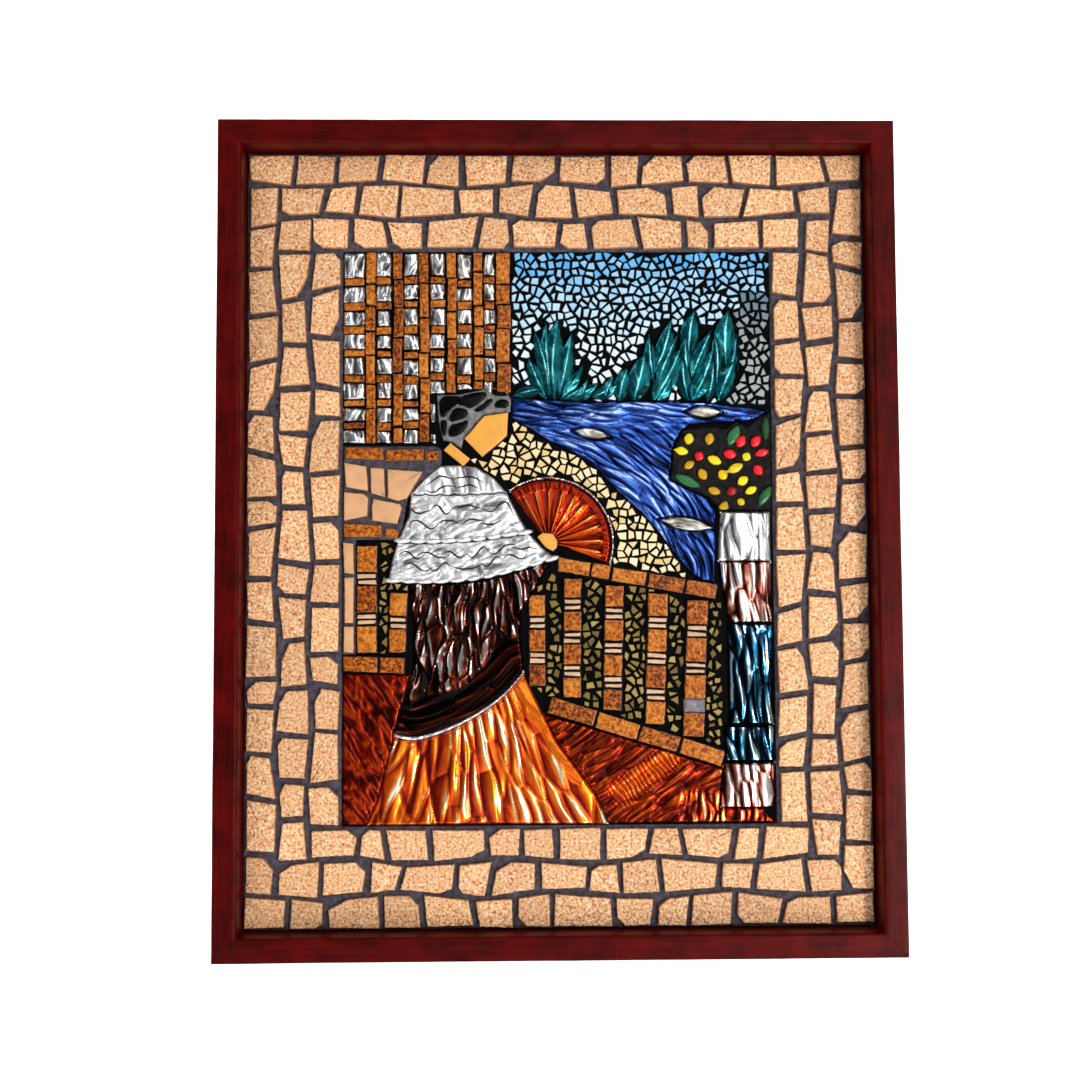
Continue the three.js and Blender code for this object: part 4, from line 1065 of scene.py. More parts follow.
def teal_lacquer():
    """Teal lacquer on foil, nearly black in the folds with icy glints on their crests."""
    return foil_of(
        "teal_foil",
        (0.3, "#020A12"),
        (0.58, "#0A3C5A"),
        (0.77, "#3490BC"),
        (0.9, "#E8FAFF"),
        roughness=0.18,
    )


def rust_lacquer():
    """Rust-red lacquer on foil, with orange crests."""
    return foil_of(
        "rust_foil",
        (0.15, "#3A0501"),
        (0.55, "#7C1802"),
        (0.84, "#CC5009"),
        (0.97, "#FFC888"),
        roughness=0.26,
    )


# ---------------------------------------------------------------- frame and border


def rail_section(look, board, depth):
    """A rail's section as pairs of a distance in from the outer edge and a height above the wall."""
    face, outer, inner, rebate = look.face, look.outer_round, look.inner_round, 6.0
    turns = np.radians(np.linspace(0, 90, 7))
    over = [(outer - outer * math.cos(a), depth - outer + outer * math.sin(a)) for a in turns]
    under = [(face - inner + inner * math.sin(a), depth - inner + inner * math.cos(a)) for a in turns]
    face_steps = [(v, depth) for v in np.linspace(outer, face - inner, 6)[1:-1]]
    side = [(face, h) for h in np.linspace(depth - inner, board, 6)[1:]]
    rebated = [(face - rebate, board), (face - rebate, 0.0)]
    outside = [(0.0, h) for h in np.linspace(0, depth - outer, 7)[:-1]]
    return np.array([*outside, *over, *face_steps, *under, *side, *rebated])


def painted_rail(node, side):
    """One mitred rail, with the small waves that a hand plane and a brush leave on it."""
    look = settings().frame
    low, high = CAD_BOX
    width, height, depth = (high.x - low.x) / MM, (high.z - low.z) / MM, -low.y / MM
    board = -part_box("backing_board")[0].y / MM + 0.3
    section = rail_section(look, board, depth)
    length = width if side % 2 == 0 else height
    half = (height if side % 2 == 0 else width) / 2
    stations = np.linspace(0, 1, round(length / 7) + 1)
    inward, out = section.T
    girth = np.r_[0, np.cumsum(np.hypot(*np.diff(section, axis=0).T))]
    mitre_gap = 0.15
    points, run = [], []
    for share in stations:
        along = inward + mitre_gap + (length - 2 * inward - 2 * mitre_gap) * share
        worn = 0.12 * noise(along / 9, np.arange(len(section)) / 5.0, side + 3)
        worn += 0.22 * noise(along / 60, inward / 9, side)
        wave_in = np.where((inward < 0.5) | (inward > look.face - 0.5), worn, 0.0)
        wave_out = np.where(out > depth - 3, worn, 0.0)
        v = np.where(inward < look.face / 2, inward + wave_in, inward - wave_in)
        s = along - length / 2
        points.append(np.c_[s, half - v, out - wave_out])
        run.append(np.c_[along, girth, np.full(len(section), side * 50.0)])
    points = np.concatenate(points)
    turn = -side * math.pi / 2
    x = points[:, 0] * math.cos(turn) - points[:, 1] * math.sin(turn)
    y = points[:, 0] * math.sin(turn) + points[:, 1] * math.cos(turn)
    count = len(section)
    faces = [
        [k * count + i, k * count + (i + 1) % count, (k + 1) * count + (i + 1) % count, (k + 1) * count + i]
        for k in range(len(stations) - 1)
        for i in range(count)
    ]
    faces += [[*range(count)][::-1], [*range(len(points) - count, len(points))]]
    mesh = bpy.data.meshes.new(node)
    mesh.from_pydata(np.c_[x, -points[:, 2], y] * MM, [], faces)
    layer = mesh.attributes.new("run", "FLOAT_VECTOR", "POINT")
    layer.data.foreach_set("vector", (np.concatenate(run) * MM).astype(np.float32).ravel())
    solid = bmesh.new()
    solid.from_mesh(mesh)
    bmesh.ops.recalc_face_normals(solid, faces=solid.faces)
    solid.to_mesh(mesh)
    solid.free()
    mesh.shade_smooth()
    mesh.set_sharp_from_angle(angle=math.radians(40))
    mesh.materials.append(known("maroon_paint_on_wood", painted_wood, look))
    placed("painted_" + node, mesh, "frame_paint", node)


def build_frame():
    for side, name in enumerate(("top", "right", "bottom", "left")):
        painted_rail("frame_rail_" + name, side)
    repaint("backing_board", bare_plywood())


def repaint(node, material):
    frame["nodes"][node].data.materials.clear()
    frame["nodes"][node].data.materials.append(material)


def build_border():
    rng = np.random.default_rng(5)
    parts = flat_parts("border_mosaic")
    top, bed = max(parts), min(parts)
    tiles = Pile()
    for outline in parts[top]:
        lift = rng.uniform(-0.35, 0.25)
        tile(tiles, outline, bed - 1.5, top + lift, rng, edge=settings().tiles.worn_edge, rough=0.45)
    tiles.build("border_tiles", floor_tile(), "border_tile", "border_mosaic")
    outline, holes = footprint("border_mosaic")
    floor = foot_of("border_mosaic")

    def sunk(points):
        x, y = points.T
        rise = bed - floor - 0.3 + 0.9 * noise(x / 6, y / 6, 2) + 0.35 * noise(x / 1.9, y / 1.9, 3)
        return rise, np.full(len(points), 0.5)

    grout = Pile()
    slab(grout, outline, sunk, floor, spacing=1.9, holes=holes, tuck=0.4, lip=bed - floor - 0.4)
    piece = grout.build("border_grout", grey_grout(), "border_tile", "border_mosaic", sharp=CEMENT_CREASE)
    values = {"Grains per m2": 26000.0, "Grain Radius": 0.3 * MM, "Seed": 8, "Material": grey_grout()}
    grown_from("border_sand_grains", grit_tree(), piece.data.copy(), values, "border_tile", "border_mosaic")
    repaint("picture_ground", known("black_ground", cement, "black_ground", "#030303", "#0B0B0D", 0.1))


# ---------------------------------------------------------------- tile work inside the picture


def bar_pieces(pile, bar, rng, low, high):
    """A long bar of the lattice as short lengths of tile, one after the other."""
    left, foot, right, head = box_of(bar)
    at = head
    while at > foot + 4:
        length = min(rng.uniform(15, 27), at - foot)
        if at - foot - length < 7:
            length = at - foot
        slip, lean = rng.uniform(-0.65, 0.65, 2)
        narrow = rng.uniform(0, 0.5)
        end = at - length + rng.uniform(0.9, 2.0)
        foot_line = [(left + slip + narrow, end), (right + slip, end + lean)]
        head_line = [(right + slip + lean, at), (left + slip + lean + narrow, at)]
        outline = np.array([*foot_line, *head_line])
        tile(pile, outline, low, high + rng.uniform(-0.5, 0.3), rng, edge=0.45, rough=0.5)
        at -= length


def crumpled_square(pile, left, low, right, high, base, rng):
    """A square of foil pressed into one opening of the lattice, its edges folded under."""
    corners = rectangle(left, low, right, high) + rng.uniform(-0.5, 0.5, (4, 2))
    outline = rounded(resampled(corners, 3.0))
    seed = int(rng.integers(1, 9999))
    lean = rng.uniform(-0.25, 0.25)
    width = rng.uniform(3.4, 5.5)

    def pressed(points):
        x, y = points.T
        fold = crumple((x + lean * y) / width, y / 13, seed)
        bulge = np.sin(np.pi * np.clip((x - left) / (right - left), 0.05, 0.95)) ** 0.5
        return 0.9 + 1.2 * bulge + 1.7 * fold, evened(fold)

    slab(pile, outline, pressed, base, spacing=0.9, tuck=1.0)


def build_window():
    rng = np.random.default_rng(21)
    parts = flat_parts("window_lattice")
    strip, sliver = sorted(parts)[-1], sorted(parts)[-2]
    bars = sorted(parts[strip], key=lambda o: o[:, 0].min())
    left_edge, _, _, high_edge = box_of(footprint("window_foil")[0])
    base = foot_of("window_foil")
    tiles, squares = Pile(), Pile()
    for bar in bars:
        bar_pieces(tiles, bar, rng, base, strip)
    starts = [left_edge - 0.5, *(bar[:, 0].max() for bar in bars[:-1])]
    ends = [bar[:, 0].min() for bar in bars]
    floors = [bar[:, 1].min() for bar in bars]
    rows = sorted({round(float(o[:, 1].mean()), 0) for o in parts[sliver]}, reverse=True)
    for start, end, floor in zip(starts, ends, floors):
        crossings = [row + rng.uniform(-1.4, 1.4) for row in rows if row > floor + 4]
        for row in crossings:
            half = rng.uniform(1.9, 2.8)
            lean = rng.uniform(-0.6, 0.6)
            inset = rng.uniform(0.6, 1.8, 2)
            outline = rectangle(start + inset[0], row - half, end - inset[1], row + half)
            outline[:, 1] += lean * (outline[:, 0] - start) / (end - start)
            tile(tiles, outline, base, sliver + rng.uniform(-0.5, 0.3), rng, edge=0.45, rough=0.5)
        lines = [high_edge - rng.uniform(0, 1.5) + 3, *crossings, floor - 2.5]
        for above, below in zip(lines, lines[1:]):
            inset = rng.uniform(0.2, 0.9)
            if above - below > 8:
                crumpled_square(squares, start + inset, below + 3.1, end - inset, above - 3.1, base, rng)
    # Below the hair's crown the opening beside it is only a few millimetres wide.
    for low, high in ((68.5, 76.5), (84, 99.5)):
        crumpled_square(squares, starts[3] + 0.6, low, starts[3] + 5.4, high, base, rng)
    tiles.build("lattice_tiles", strip_tile(), "mottled_tile", "window_lattice")
    squares.build("window_foil_squares", bright_foil(), "silver_foil", "window_foil", sharp=FOIL_CREASE)


def build_wall():
    rng = np.random.default_rng(33)
    parts = flat_parts("wall_mosaic")
    levels = sorted(parts)
    base = foot_of("wall_mosaic")
    stones, strips, grout = Pile(), Pile(), Pile()
    for outline in parts[levels[-1]]:
        tile(stones, outline, base, levels[-1] + rng.uniform(-0.4, 0.2), rng, edge=0.7, rough=0.3)
    for outline in parts[levels[-2]]:
        tile(strips, outline, base, levels[-2], rng, edge=0.5, rough=0.3)
    outline, holes = footprint("wall_mosaic")
    slab(grout, outline, rough_bed(levels[0] - base, 0.6), base, spacing=1.1, tuck=0.9, holes=holes)
    cream = known("cream_wall_tile", plain_tile, "cream_wall_tile", "#E4AC7C", "#B98056", 0.5, 0.05)
    stones.build("wall_tiles", cream, "wall_tile", "wall_mosaic")
    strips.build("wall_strips", strip_tile(), "mottled_tile", "wall_mosaic")
    grout.build("wall_grout", grey_grout(), "wall_tile", "wall_mosaic", sharp=CEMENT_CREASE)


def rough_bed(level, wobble):
    """The relief of a bed of grout or adhesive about a level."""

    def relief(points):
        x, y = points.T
        rise = level - wobble + 1.5 * wobble * noise(x / 4, y / 4, 12) + 0.3 * noise(x / 1.5, y / 1.5, 13)
        return rise, np.full(len(points), 0.5)

    return relief


def build_balustrade():
    rng = np.random.default_rng(44)
    names = sorted(n for n in frame["nodes"] if n.startswith("balust"))
    blocks, slivers, beds, patch = Pile(), Pile(), Pile(), Pile()
    patched = "baluster_right_5"
    patch_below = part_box(patched)[0].z / MM + 28
    worn_away = []
    for name in names:
        parts = flat_parts(name)
        base = foot_of(name)
        levels = sorted(parts)
        for outline in parts[levels[-1]]:
            tile(blocks, outline, base, levels[-1] + rng.uniform(-0.5, 0.3), rng, edge=0.5, rough=0.6)
        outline, holes = footprint(name)
        slab(beds, outline, rough_bed(levels[0] - base - 0.5, 0.4), base, 1.3, holes, tuck=0.8)
        for outline in (o for level in levels[1:-1] for o in parts[level]):
            if name == patched and outline[:, 1].mean() < patch_below:
                worn_away.append(outline)
            else:
                slim = shrunk(outline, rng.uniform(0.0, 0.55, len(outline)))
                tile(slivers, slim, base, levels[-2] + rng.uniform(-0.2, 0.5), rng, edge=0.35, rough=0.3)
    # Two slivers of the last baluster are gone, and a lump of mortar fills their place.
    left, low, right, high = box_of(np.concatenate(worn_away))
    lump = rounded(resampled(rectangle(left - 0.4, low - 1.2, right + 0.4, high + 1.2), 4), 2)
    slab(patch, lump, rough_bed(3.6, 0.7), base, spacing=0.8, tuck=2.2)
    blocks.build("balustrade_blocks", strip_tile(), "mottled_tile", *names)
    slivers.build("baluster_slivers", sliver_tile(), "mottled_tile", *names)
    dark = known("dark_adhesive", cement, "dark_adhesive", "#0C0B0D", "#29262B", 0.15)
    beds.build("balustrade_beds", dark, "mottled_tile", *names, sharp=CEMENT_CREASE)
    mortar = known("pale_mortar", cement, "pale_mortar", "#6F6A70", "#A39CA2")
    patch.build("baluster_mortar_patch", mortar, "mottled_tile", patched, sharp=CEMENT_CREASE)


def lay_chip(pile, outline, rng, tone):
    """Presses one chip down to the ground, a little higher or lower than the next."""
    chip(pile, outline, CHIP_FOOT, CHIP_TOP + rng.uniform(-0.3, 0.3), 0.22, float(tone))


def build_sky():
    look = settings().chips
    rng = np.random.default_rng(6)
    leaves = [footprint(n)[0] for n in frame["nodes"] if n.startswith(("tree", "shore"))]
    outline, _ = footprint("sky_chips")
    _, foot, right, head = box_of(outline)
    blue, grey = Pile(), Pile()
    shade_strip_width = 27
    for cell in shards(outline, look.size, look.gap, rng):
        spot = cell.mean(0)[None]
        if any(inside(spot, o)[0] or nearest_on(spot, o)[0][0] < look.clear for o in leaves):
            continue
        x, y = spot[0]
        fall = (head - y) / (head - foot)
        # Chips along the sky's right side are laid darker and greyer: painted shade falling across that side.
        in_painted_shade = x > right - shade_strip_width + 5 * math.sin(y / 9) + rng.uniform(-4, 4) and fall > 0.25
        pile = grey if in_painted_shade else blue
        lay_chip(pile, cell, rng, np.clip(1.5 * fall + rng.uniform(-0.16, 0.16), 0, 1))
    deep, pale = list(look.sky_high), list(look.sky_low)
    half = [blend(a, b, 0.6) for a, b in zip(deep, pale)]
    stops = [(0.03, deep), (0.3, half), (0.7, pale), (0.95, "#EEF9FD")]
    enamel = snipped_enamel("blue_chip_enamel", "#6F8396", stops)
    blue.build("sky_blue_chips", enamel, "sky_chips", "sky_chips", sharp=CHIP_CREASE)
    stops = [(0.3, list(look.sky_grey)), (0.6, "#74868E"), (0.95, "#A4ACA9")]
    enamel = snipped_enamel("grey_chip_enamel", "#3C4A54", stops)
    grey.build("sky_grey_chips", enamel, "sky_chips", "sky_chips", sharp=CHIP_CREASE)


def build_ground_chips():
    look = settings().chips
    gardens = sorted(n for n in frame["nodes"] if n.startswith("garden_chips"))
    sand = [(0.0, "#E2BF7C"), (0.4, list(look.sand)), (1.0, "#FFF1CC")]
    olive = [(0.0, "#625320"), (0.5, list(look.garden)), (1.0, "#B39A58")]
    for name, nodes, seed, side, stops, spread, slot in (
        ("beach_sand_chips", ["beach_chips"], 7, "#B58F58", sand, 0.75, "sand_chips"),
        ("garden_olive_chips", gardens, 8, "#3A3216", olive, 1.1, "garden_chips"),
    ):
        rng = np.random.default_rng(seed)
        pile = Pile()
        for node in nodes:
            for cell in shards(footprint(node)[0], look.size, look.gap * spread, rng):
                lay_chip(pile, cell, rng, rng.random())
        pile.build(name, snipped_enamel(slot + "_enamel", side, stops, 0.42), slot, *nodes, sharp=CHIP_CREASE)


# ---------------------------------------------------------------- foil


def embossed_foil(name, node, slot, material, relief, **keywords):
    outline, holes = footprint(node)
    pile = Pile()
    base = foot_of(node)
    slab(pile, outline, relief, base, spacing=settings().foil.spacing, holes=holes, **keywords)
    pile.build(name, material, slot, node, sharp=FOIL_CREASE)
    return outline, base


def about(points, x, y):
    """Distance and angle of points about a centre."""
    dx, dy = (points - (x, y)).T
    return np.hypot(dx, dy), np.arctan2(dy, dx)


def evened(values):
    """The same order of values spread evenly from 0 to 1, so that a tone is a share of the sheet."""
    return np.argsort(np.argsort(values)) / len(values)


def folded(across, along, seed, low, deep, fine=0.5, sharpen=1.0):
    """Long folds: heights that start at low and rise by deep, and a tone with painted light on one side of
    each fold, darker in the hollows where lacquer pools and shade is painted.
    """
    bent = across + 0.9 * noise(across * 0.5, along * 1.6, seed + 30)
    before, _ = lenses(bent - 0.14, along, seed)
    after, own = lenses(bent + 0.14, along, seed)
    dome = (0.5 * before + 0.5 * after) ** sharpen
    ridge = creases(bent * 1.15, along * 0.9, seed + 31)
    small = crumple(across * 1.6, along * 1.8, seed + 20)
    height = low + deep * (0.6 * dome * (0.5 + 0.5 * own) + 0.4 * ridge) + fine * small
    # The before - after term paints light on one side of each fold; dome and ridge darken the hollows, as
    # pooled lacquer and painted shade.
    return height, evened(0.3 * dome + 0.35 * ridge + 0.9 * (before - after) + 0.3 * small + 0.2 * own)


def build_river():
    wave = settings().foil.wave
    boats = {name: footprint(name)[0] for name in ("boat_left", "boat_far", "boat_near")}
    # The lower river bends round a point on the terrace, and its waves are this long.
    bend_x, bend_y, bend_radius, wave_length = -30, -62, 110, 26

    def flowing_water(points):
        x, y = points.T
        reach, turn = about(points, bend_x, bend_y)
        level = ease(y, 62, 94)
        low_height, low_tone = folded(reach / wave, -turn * bend_radius / wave_length, 5, 0.8, 2.4, 0.7)
        high_height, high_tone = folded((y + 0.12 * x) / wave, x / 28, 6, 0.8, 2.4, 0.7)
        swell = noise(x / 24, y / 18, 9)
        height = blend(low_height, high_height, level) + 1.2 * swell
        shade = ease(x, 84, 112) * (1 - level)
        return height, blend(low_tone, high_tone, level) + 0.34 * (swell - 0.5) - 0.22 * shade

    # Ultramarine lacquer on foil, navy in the troughs with pale blue crests.
    blue = foil_of(
        "ultramarine_foil",
        (0.08, "#040A2A"),
        (0.38, "#18367F"),
        (0.72, "#3F69C4"),
        (0.96, "#A4BEF4"),
        roughness=0.26,
    )
    embossed_foil("river_sheet", "river_foil", "blue_foil", blue, flowing_water)
    # The boats' foil is darker in the creases of its keels: painted shade.
    pearl = foil_of("pearl_foil", (0.1, "#6E675C"), (0.5, "#B5AD9E"), (0.9, "#F2EEE6"), roughness=0.34)
    for k, (name, outline) in enumerate(boats.items()):
        hull = rounded(resampled(outline, 5), 2)
        slope = {"boat_left": -0.18, "boat_far": -0.03, "boat_near": -0.16}[name]

        def crisp(points, k=k, slope=slope):
            x, y = points.T
            keel = creases((y - slope * x) / 4.2, x / 30, 70 + k)
            small = crumple(x / 7, (y - slope * x) / 2.6, 75 + k)
            return 1.8 + 1.4 * keel + 0.6 * small, evened(keel + 0.5 * small)

        pile = Pile()
        base = foot_of(name)
        slab(pile, hull, crisp, base, spacing=0.7, tuck=1.6)
        pile.build(name + "_hull", pearl, "silver_foil", name, sharp=FOIL_CREASE)


# Each leaf's foot and tip, and its width, in millimetres.
LEAVES = {
    "tree_left": [
        (-8, 103, -22, 134, 10),
        (-6, 104, -17, 153, 11),
        (-5, 108, -8.5, 160, 11),
        (1, 104, 11, 153, 11),
        (-2, 102, 1, 163, 15),
        (2, 103, 20, 128, 8),
        (3, 103, 22, 113, 6),
    ],
    "tree_middle": [
        (72, 116, 69, 151, 9),
        (72, 122, 86, 162, 12),
        (74, 112, 91, 151, 9),
        (57, 101, 66, 136, 15),
        (46, 101, 53, 126, 11),
        (71, 101, 93, 141, 14),
        (74, 101, 86, 119, 9),
    ],
    "tree_right": [
        (98, 120, 96, 149, 10),
        (99, 136, 103.5, 169, 12),
        (119, 112, 118, 152, 9),
        (127, 128, 129, 169, 15),
        (128, 112, 135, 150, 9),
        (100, 118, 116, 154, 10),
        (98, 101, 93.5, 134, 10),
        (112, 101, 117, 131, 9),
        (120, 101, 134, 133, 12),
        (100, 101, 117, 140, 14),
    ],
    "shore_leaf": [(-33.5, 106, -10, 109, 8)],
    "shore_leaves": [
        (7, 104, 31, 113, 9),
        (25, 104, 46, 113, 9),
        (17, 103, 23, 117, 6),
        (35, 103, 42, 119, 7),
    ],
}


def leaf(pile, foot, tip, width, base, lift, rng):
    """A pointed leaf of folded foil: a rib down its middle with a painted highlight, one half painted lighter
    as if turned to the light and the other darker, and fine veins.
    """
    way = tip - foot
    length = float(np.hypot(*way))
    way = way / length
    left = np.array([-way[1], way[0]])
    bow = rng.uniform(-0.05, 0.05) * length
    seed = int(rng.integers(1, 9999))
    share = np.linspace(0, 1, 15)

    def edge(share, hand):
        swell = np.sin(np.pi * share**0.9) ** 0.8 * width / 2
        off = bow * np.sin(np.pi * share) + hand * swell
        return foot + way * length * share[:, None] + left * off[:, None]

    outline = np.concatenate([edge(share, -1), edge(share[-2:0:-1], 1)])

    def veined(points):
        u = np.clip((points - foot) @ way / length, 0, 1)
        half = np.maximum(np.sin(np.pi * u) ** 0.8 * width / 2, 0.7)
        v = ((points - foot) @ left - bow * np.sin(np.pi * u)) / half
        vein = crumple(v * 1.6, u * length / 9 - np.abs(v) * 0.7, seed)
        # Known fault: where v passes 1 or -1 the power has no value, and that point of the rim has no place.
        rise = 0.5 + lift + (1 - np.abs(v)) ** 0.8 * 1.5 + 0.45 * vein
        rib = np.exp(-((v / 0.1) ** 2))
        # Painted light: the half where v is above 0 is lighter and the other half darker, and the rib term is
        # a painted highlight down the midrib.
        return rise, np.where(v > 0, 0.42, 0.12) + 0.4 * vein + 0.45 * rib * np.sin(np.pi * u)

    slab(pile, outline, veined, base, spacing=0.8, tuck=0.5, lip=0.5)


def build_trees():
    # Emerald lacquer on foil: almost black on each leaf's darker half, which is painted shade, and bright
    # along the midribs, which is a painted highlight.
    green = foil_of(
        "emerald_foil",
        (0.2, "#011412"),
        (0.44, "#03464A"),
        (0.7, "#0B7A84"),
        (0.98, "#92EEF0"),
        roughness=0.22,
    )
    # Each leaf is cut a fifth wider and starts a little lower than it shows, so that its neighbours lap it.
    fuller, lower = 1.2, 1.6
    for name, leaves in LEAVES.items():
        rng = np.random.default_rng(len(leaves) + 30)
        base = foot_of(name)
        pile = Pile()
        for k, (x, y, tip_x, tip_y, width) in enumerate(leaves):
            foot, tip = np.array([x, y - lower]), np.array([tip_x, tip_y], float)
            leaf(pile, foot, tip, width * fuller, base, 1.1 * k / len(leaves), rng)
        pile.build(name + "_foil", green, "green_foil", name, sharp=FOIL_CREASE)


# ---------------------------------------------------------------- figure


def build_head():
    rng = np.random.default_rng(55)
    ochre = Pile()
    for name in ("face_tile", "neck_tile"):
        parts = flat_parts(name)
        top = max(parts)
        tile(ochre, parts[top][0], foot_of(name), top, rng, edge=0.5, rough=0.12, step=2.5)
    ochre.build("face_and_neck_tiles", ochre_tile(), "ochre_tile", "face_tile", "neck_tile")
    outline, holes = footprint("hair_mosaic")
    base = foot_of("hair_mosaic")
    parts = flat_parts("hair_mosaic")
    veins, locks = Pile(), Pile()
    slab(veins, outline, rough_bed(1.7, 0.5), base, spacing=0.9, tuck=1.2, holes=holes)
    for outline in parts[max(parts)]:
        lock = rounded(outline, 1)
        tile(locks, lock, base, max(parts) + rng.uniform(-0.2, 0.3), rng, 0.7, 0.1, 2.5, crown=0.35)
    black = known("black_glazed_tile", plain_tile, "black_glazed_tile", "#010101", "#050506", 0.34, 0.2, 0.1)
    grey = known("pale_grey_grout", cement, "pale_grey_grout", "#5A585A", "#ABA8A8")
    locks.build("hair_locks", black, "black_tile", "hair_mosaic")
    veins.build("hair_grout", grey, "black_tile", "hair_mosaic", sharp=CEMENT_CREASE)


BLOUSE_TIERS = ("blouse_yoke", "blouse_middle_flounce", "blouse_lower_flounce")


def blouse_relief(outline, seed, upright):
    """A tier of the blouse: it swells towards its hem, with folds up and down or along it."""
    scallop = settings().foil.scallop

    def relief(points):
        x, y = points.T
        high, low = upright_span(x, outline)
        share = np.clip((high - y) / np.maximum(high - low, 1e-6), 0, 1)
        if upright:
            folds = crumple((x + 0.25 * y) / 7.5, y / 26, seed)
            return 1.0 + 1.2 * share + 2.3 * folds, evened(folds)
        climb = y - 0.16 * x
        soft = crumple(x / 26, climb / 8.5, seed)
        small = crumple(x / 8, (y - 0.3 * x) / 3.4, seed + 5)
        frill = np.abs(np.sin(np.pi * x / scallop))
        hem = ease(share, 0.8, 1.0)
        height = 1.0 + 2.1 * share**0.8 + 1.5 * soft + 0.9 * small - hem * (0.2 + 1.6 * (1 - frill))
        # At the hem the tone is painted darker between the scallops, as shade under the lobes.
        return height, evened(soft + 0.7 * small - 0.9 * hem * (1 - frill))

    return relief


def build_blouse():
    scallop = settings().foil.scallop
    reliefs = {}
    for k, node in enumerate(BLOUSE_TIERS):
        outline, _ = footprint(node)
        relief = blouse_relief(outline, 80 + 9 * k, k == 0)
        _, base = embossed_foil(node + "_foil", node, "pearl_foil", pearl_foil(), relief, tuck=1.1)
        reliefs[node] = (outline, relief, base)
    hems = scallops_tree()
    for node in BLOUSE_TIERS[1:]:
        outline, _, base = reliefs[node]
        left, _, right, _ = box_of(outline)
        x = np.arange(left + 3.5, right - 2.5, 1.0)
        _, low = upright_span(x, outline)
        smooth = np.convolve(np.pad(low, 6, "edge"), np.ones(13) / 13, "valid")
        line = np.c_[x, smooth + 1.4, np.full(len(x), base + 2.8)]
        values = {
            "Pitch": scallop * MM,
            "Depth": 4.2 * MM,
            "Rise": 4.8 * MM,
            "Fill": 0.53,
            "Seed": 3,
            "Material": pearl_foil(),
        }
        grown_from(node + "_hem", hems, curves_through("hem_line", [line]), values, "silver_foil", node)
    draw_strokes(reliefs)


def draw_strokes(reliefs):
    """Rows of long shallow marker waves where a tier has room for them, an ornament with no letters."""
    rng = np.random.default_rng(66)
    lines = []
    for node, rows in zip(BLOUSE_TIERS, ((0.5, 0.78), (0.3, 0.62), (0.3, 0.6))):
        outline, relief, base = reliefs[node]
        left, _, right, _ = box_of(outline)
        for row in rows:
            at = left + rng.uniform(6, 12)
            while at < right - 26:
                length = rng.uniform(14, 24)
                x = np.linspace(at, at + length, 22)
                high, low = upright_span(x, outline)
                bow = rng.choice((-1, 1)) * rng.uniform(1.8, 3.4)
                share = np.linspace(0, 1, len(x))
                y = blend(high, low, row) + bow * np.sin(share * math.pi * rng.choice((1.0, 2.0)))
                points = np.c_[x, y]
                if inside(points, outline).all():
                    lines.append(np.c_[points, base + relief(points)[0] + 0.25])
                at += length * rng.uniform(0.75, 1.15)
    stops = [(0.2, "#2A120C"), (0.7, "#4A2A20")]
    ink = known("brown_marker_ink", snipped_enamel, "brown_marker_ink", "#2A120C", stops, 0.4)
    values = {"Radius": 0.62 * MM, "Material": ink}
    drawn = curves_through("strokes", lines)
    grown_from("blouse_strokes", strokes_tree(), drawn, values, "pearl_foil", *BLOUSE_TIERS)


def middle_line(outline, count):
    """The line halfway between the upper and the lower edge of a long outline."""
    left, _, right, _ = box_of(outline)
    x = np.linspace(left + 0.8, right - 0.8, count)
    high, low = upright_span(x, outline)
    return np.c_[x, (high + low) / 2]


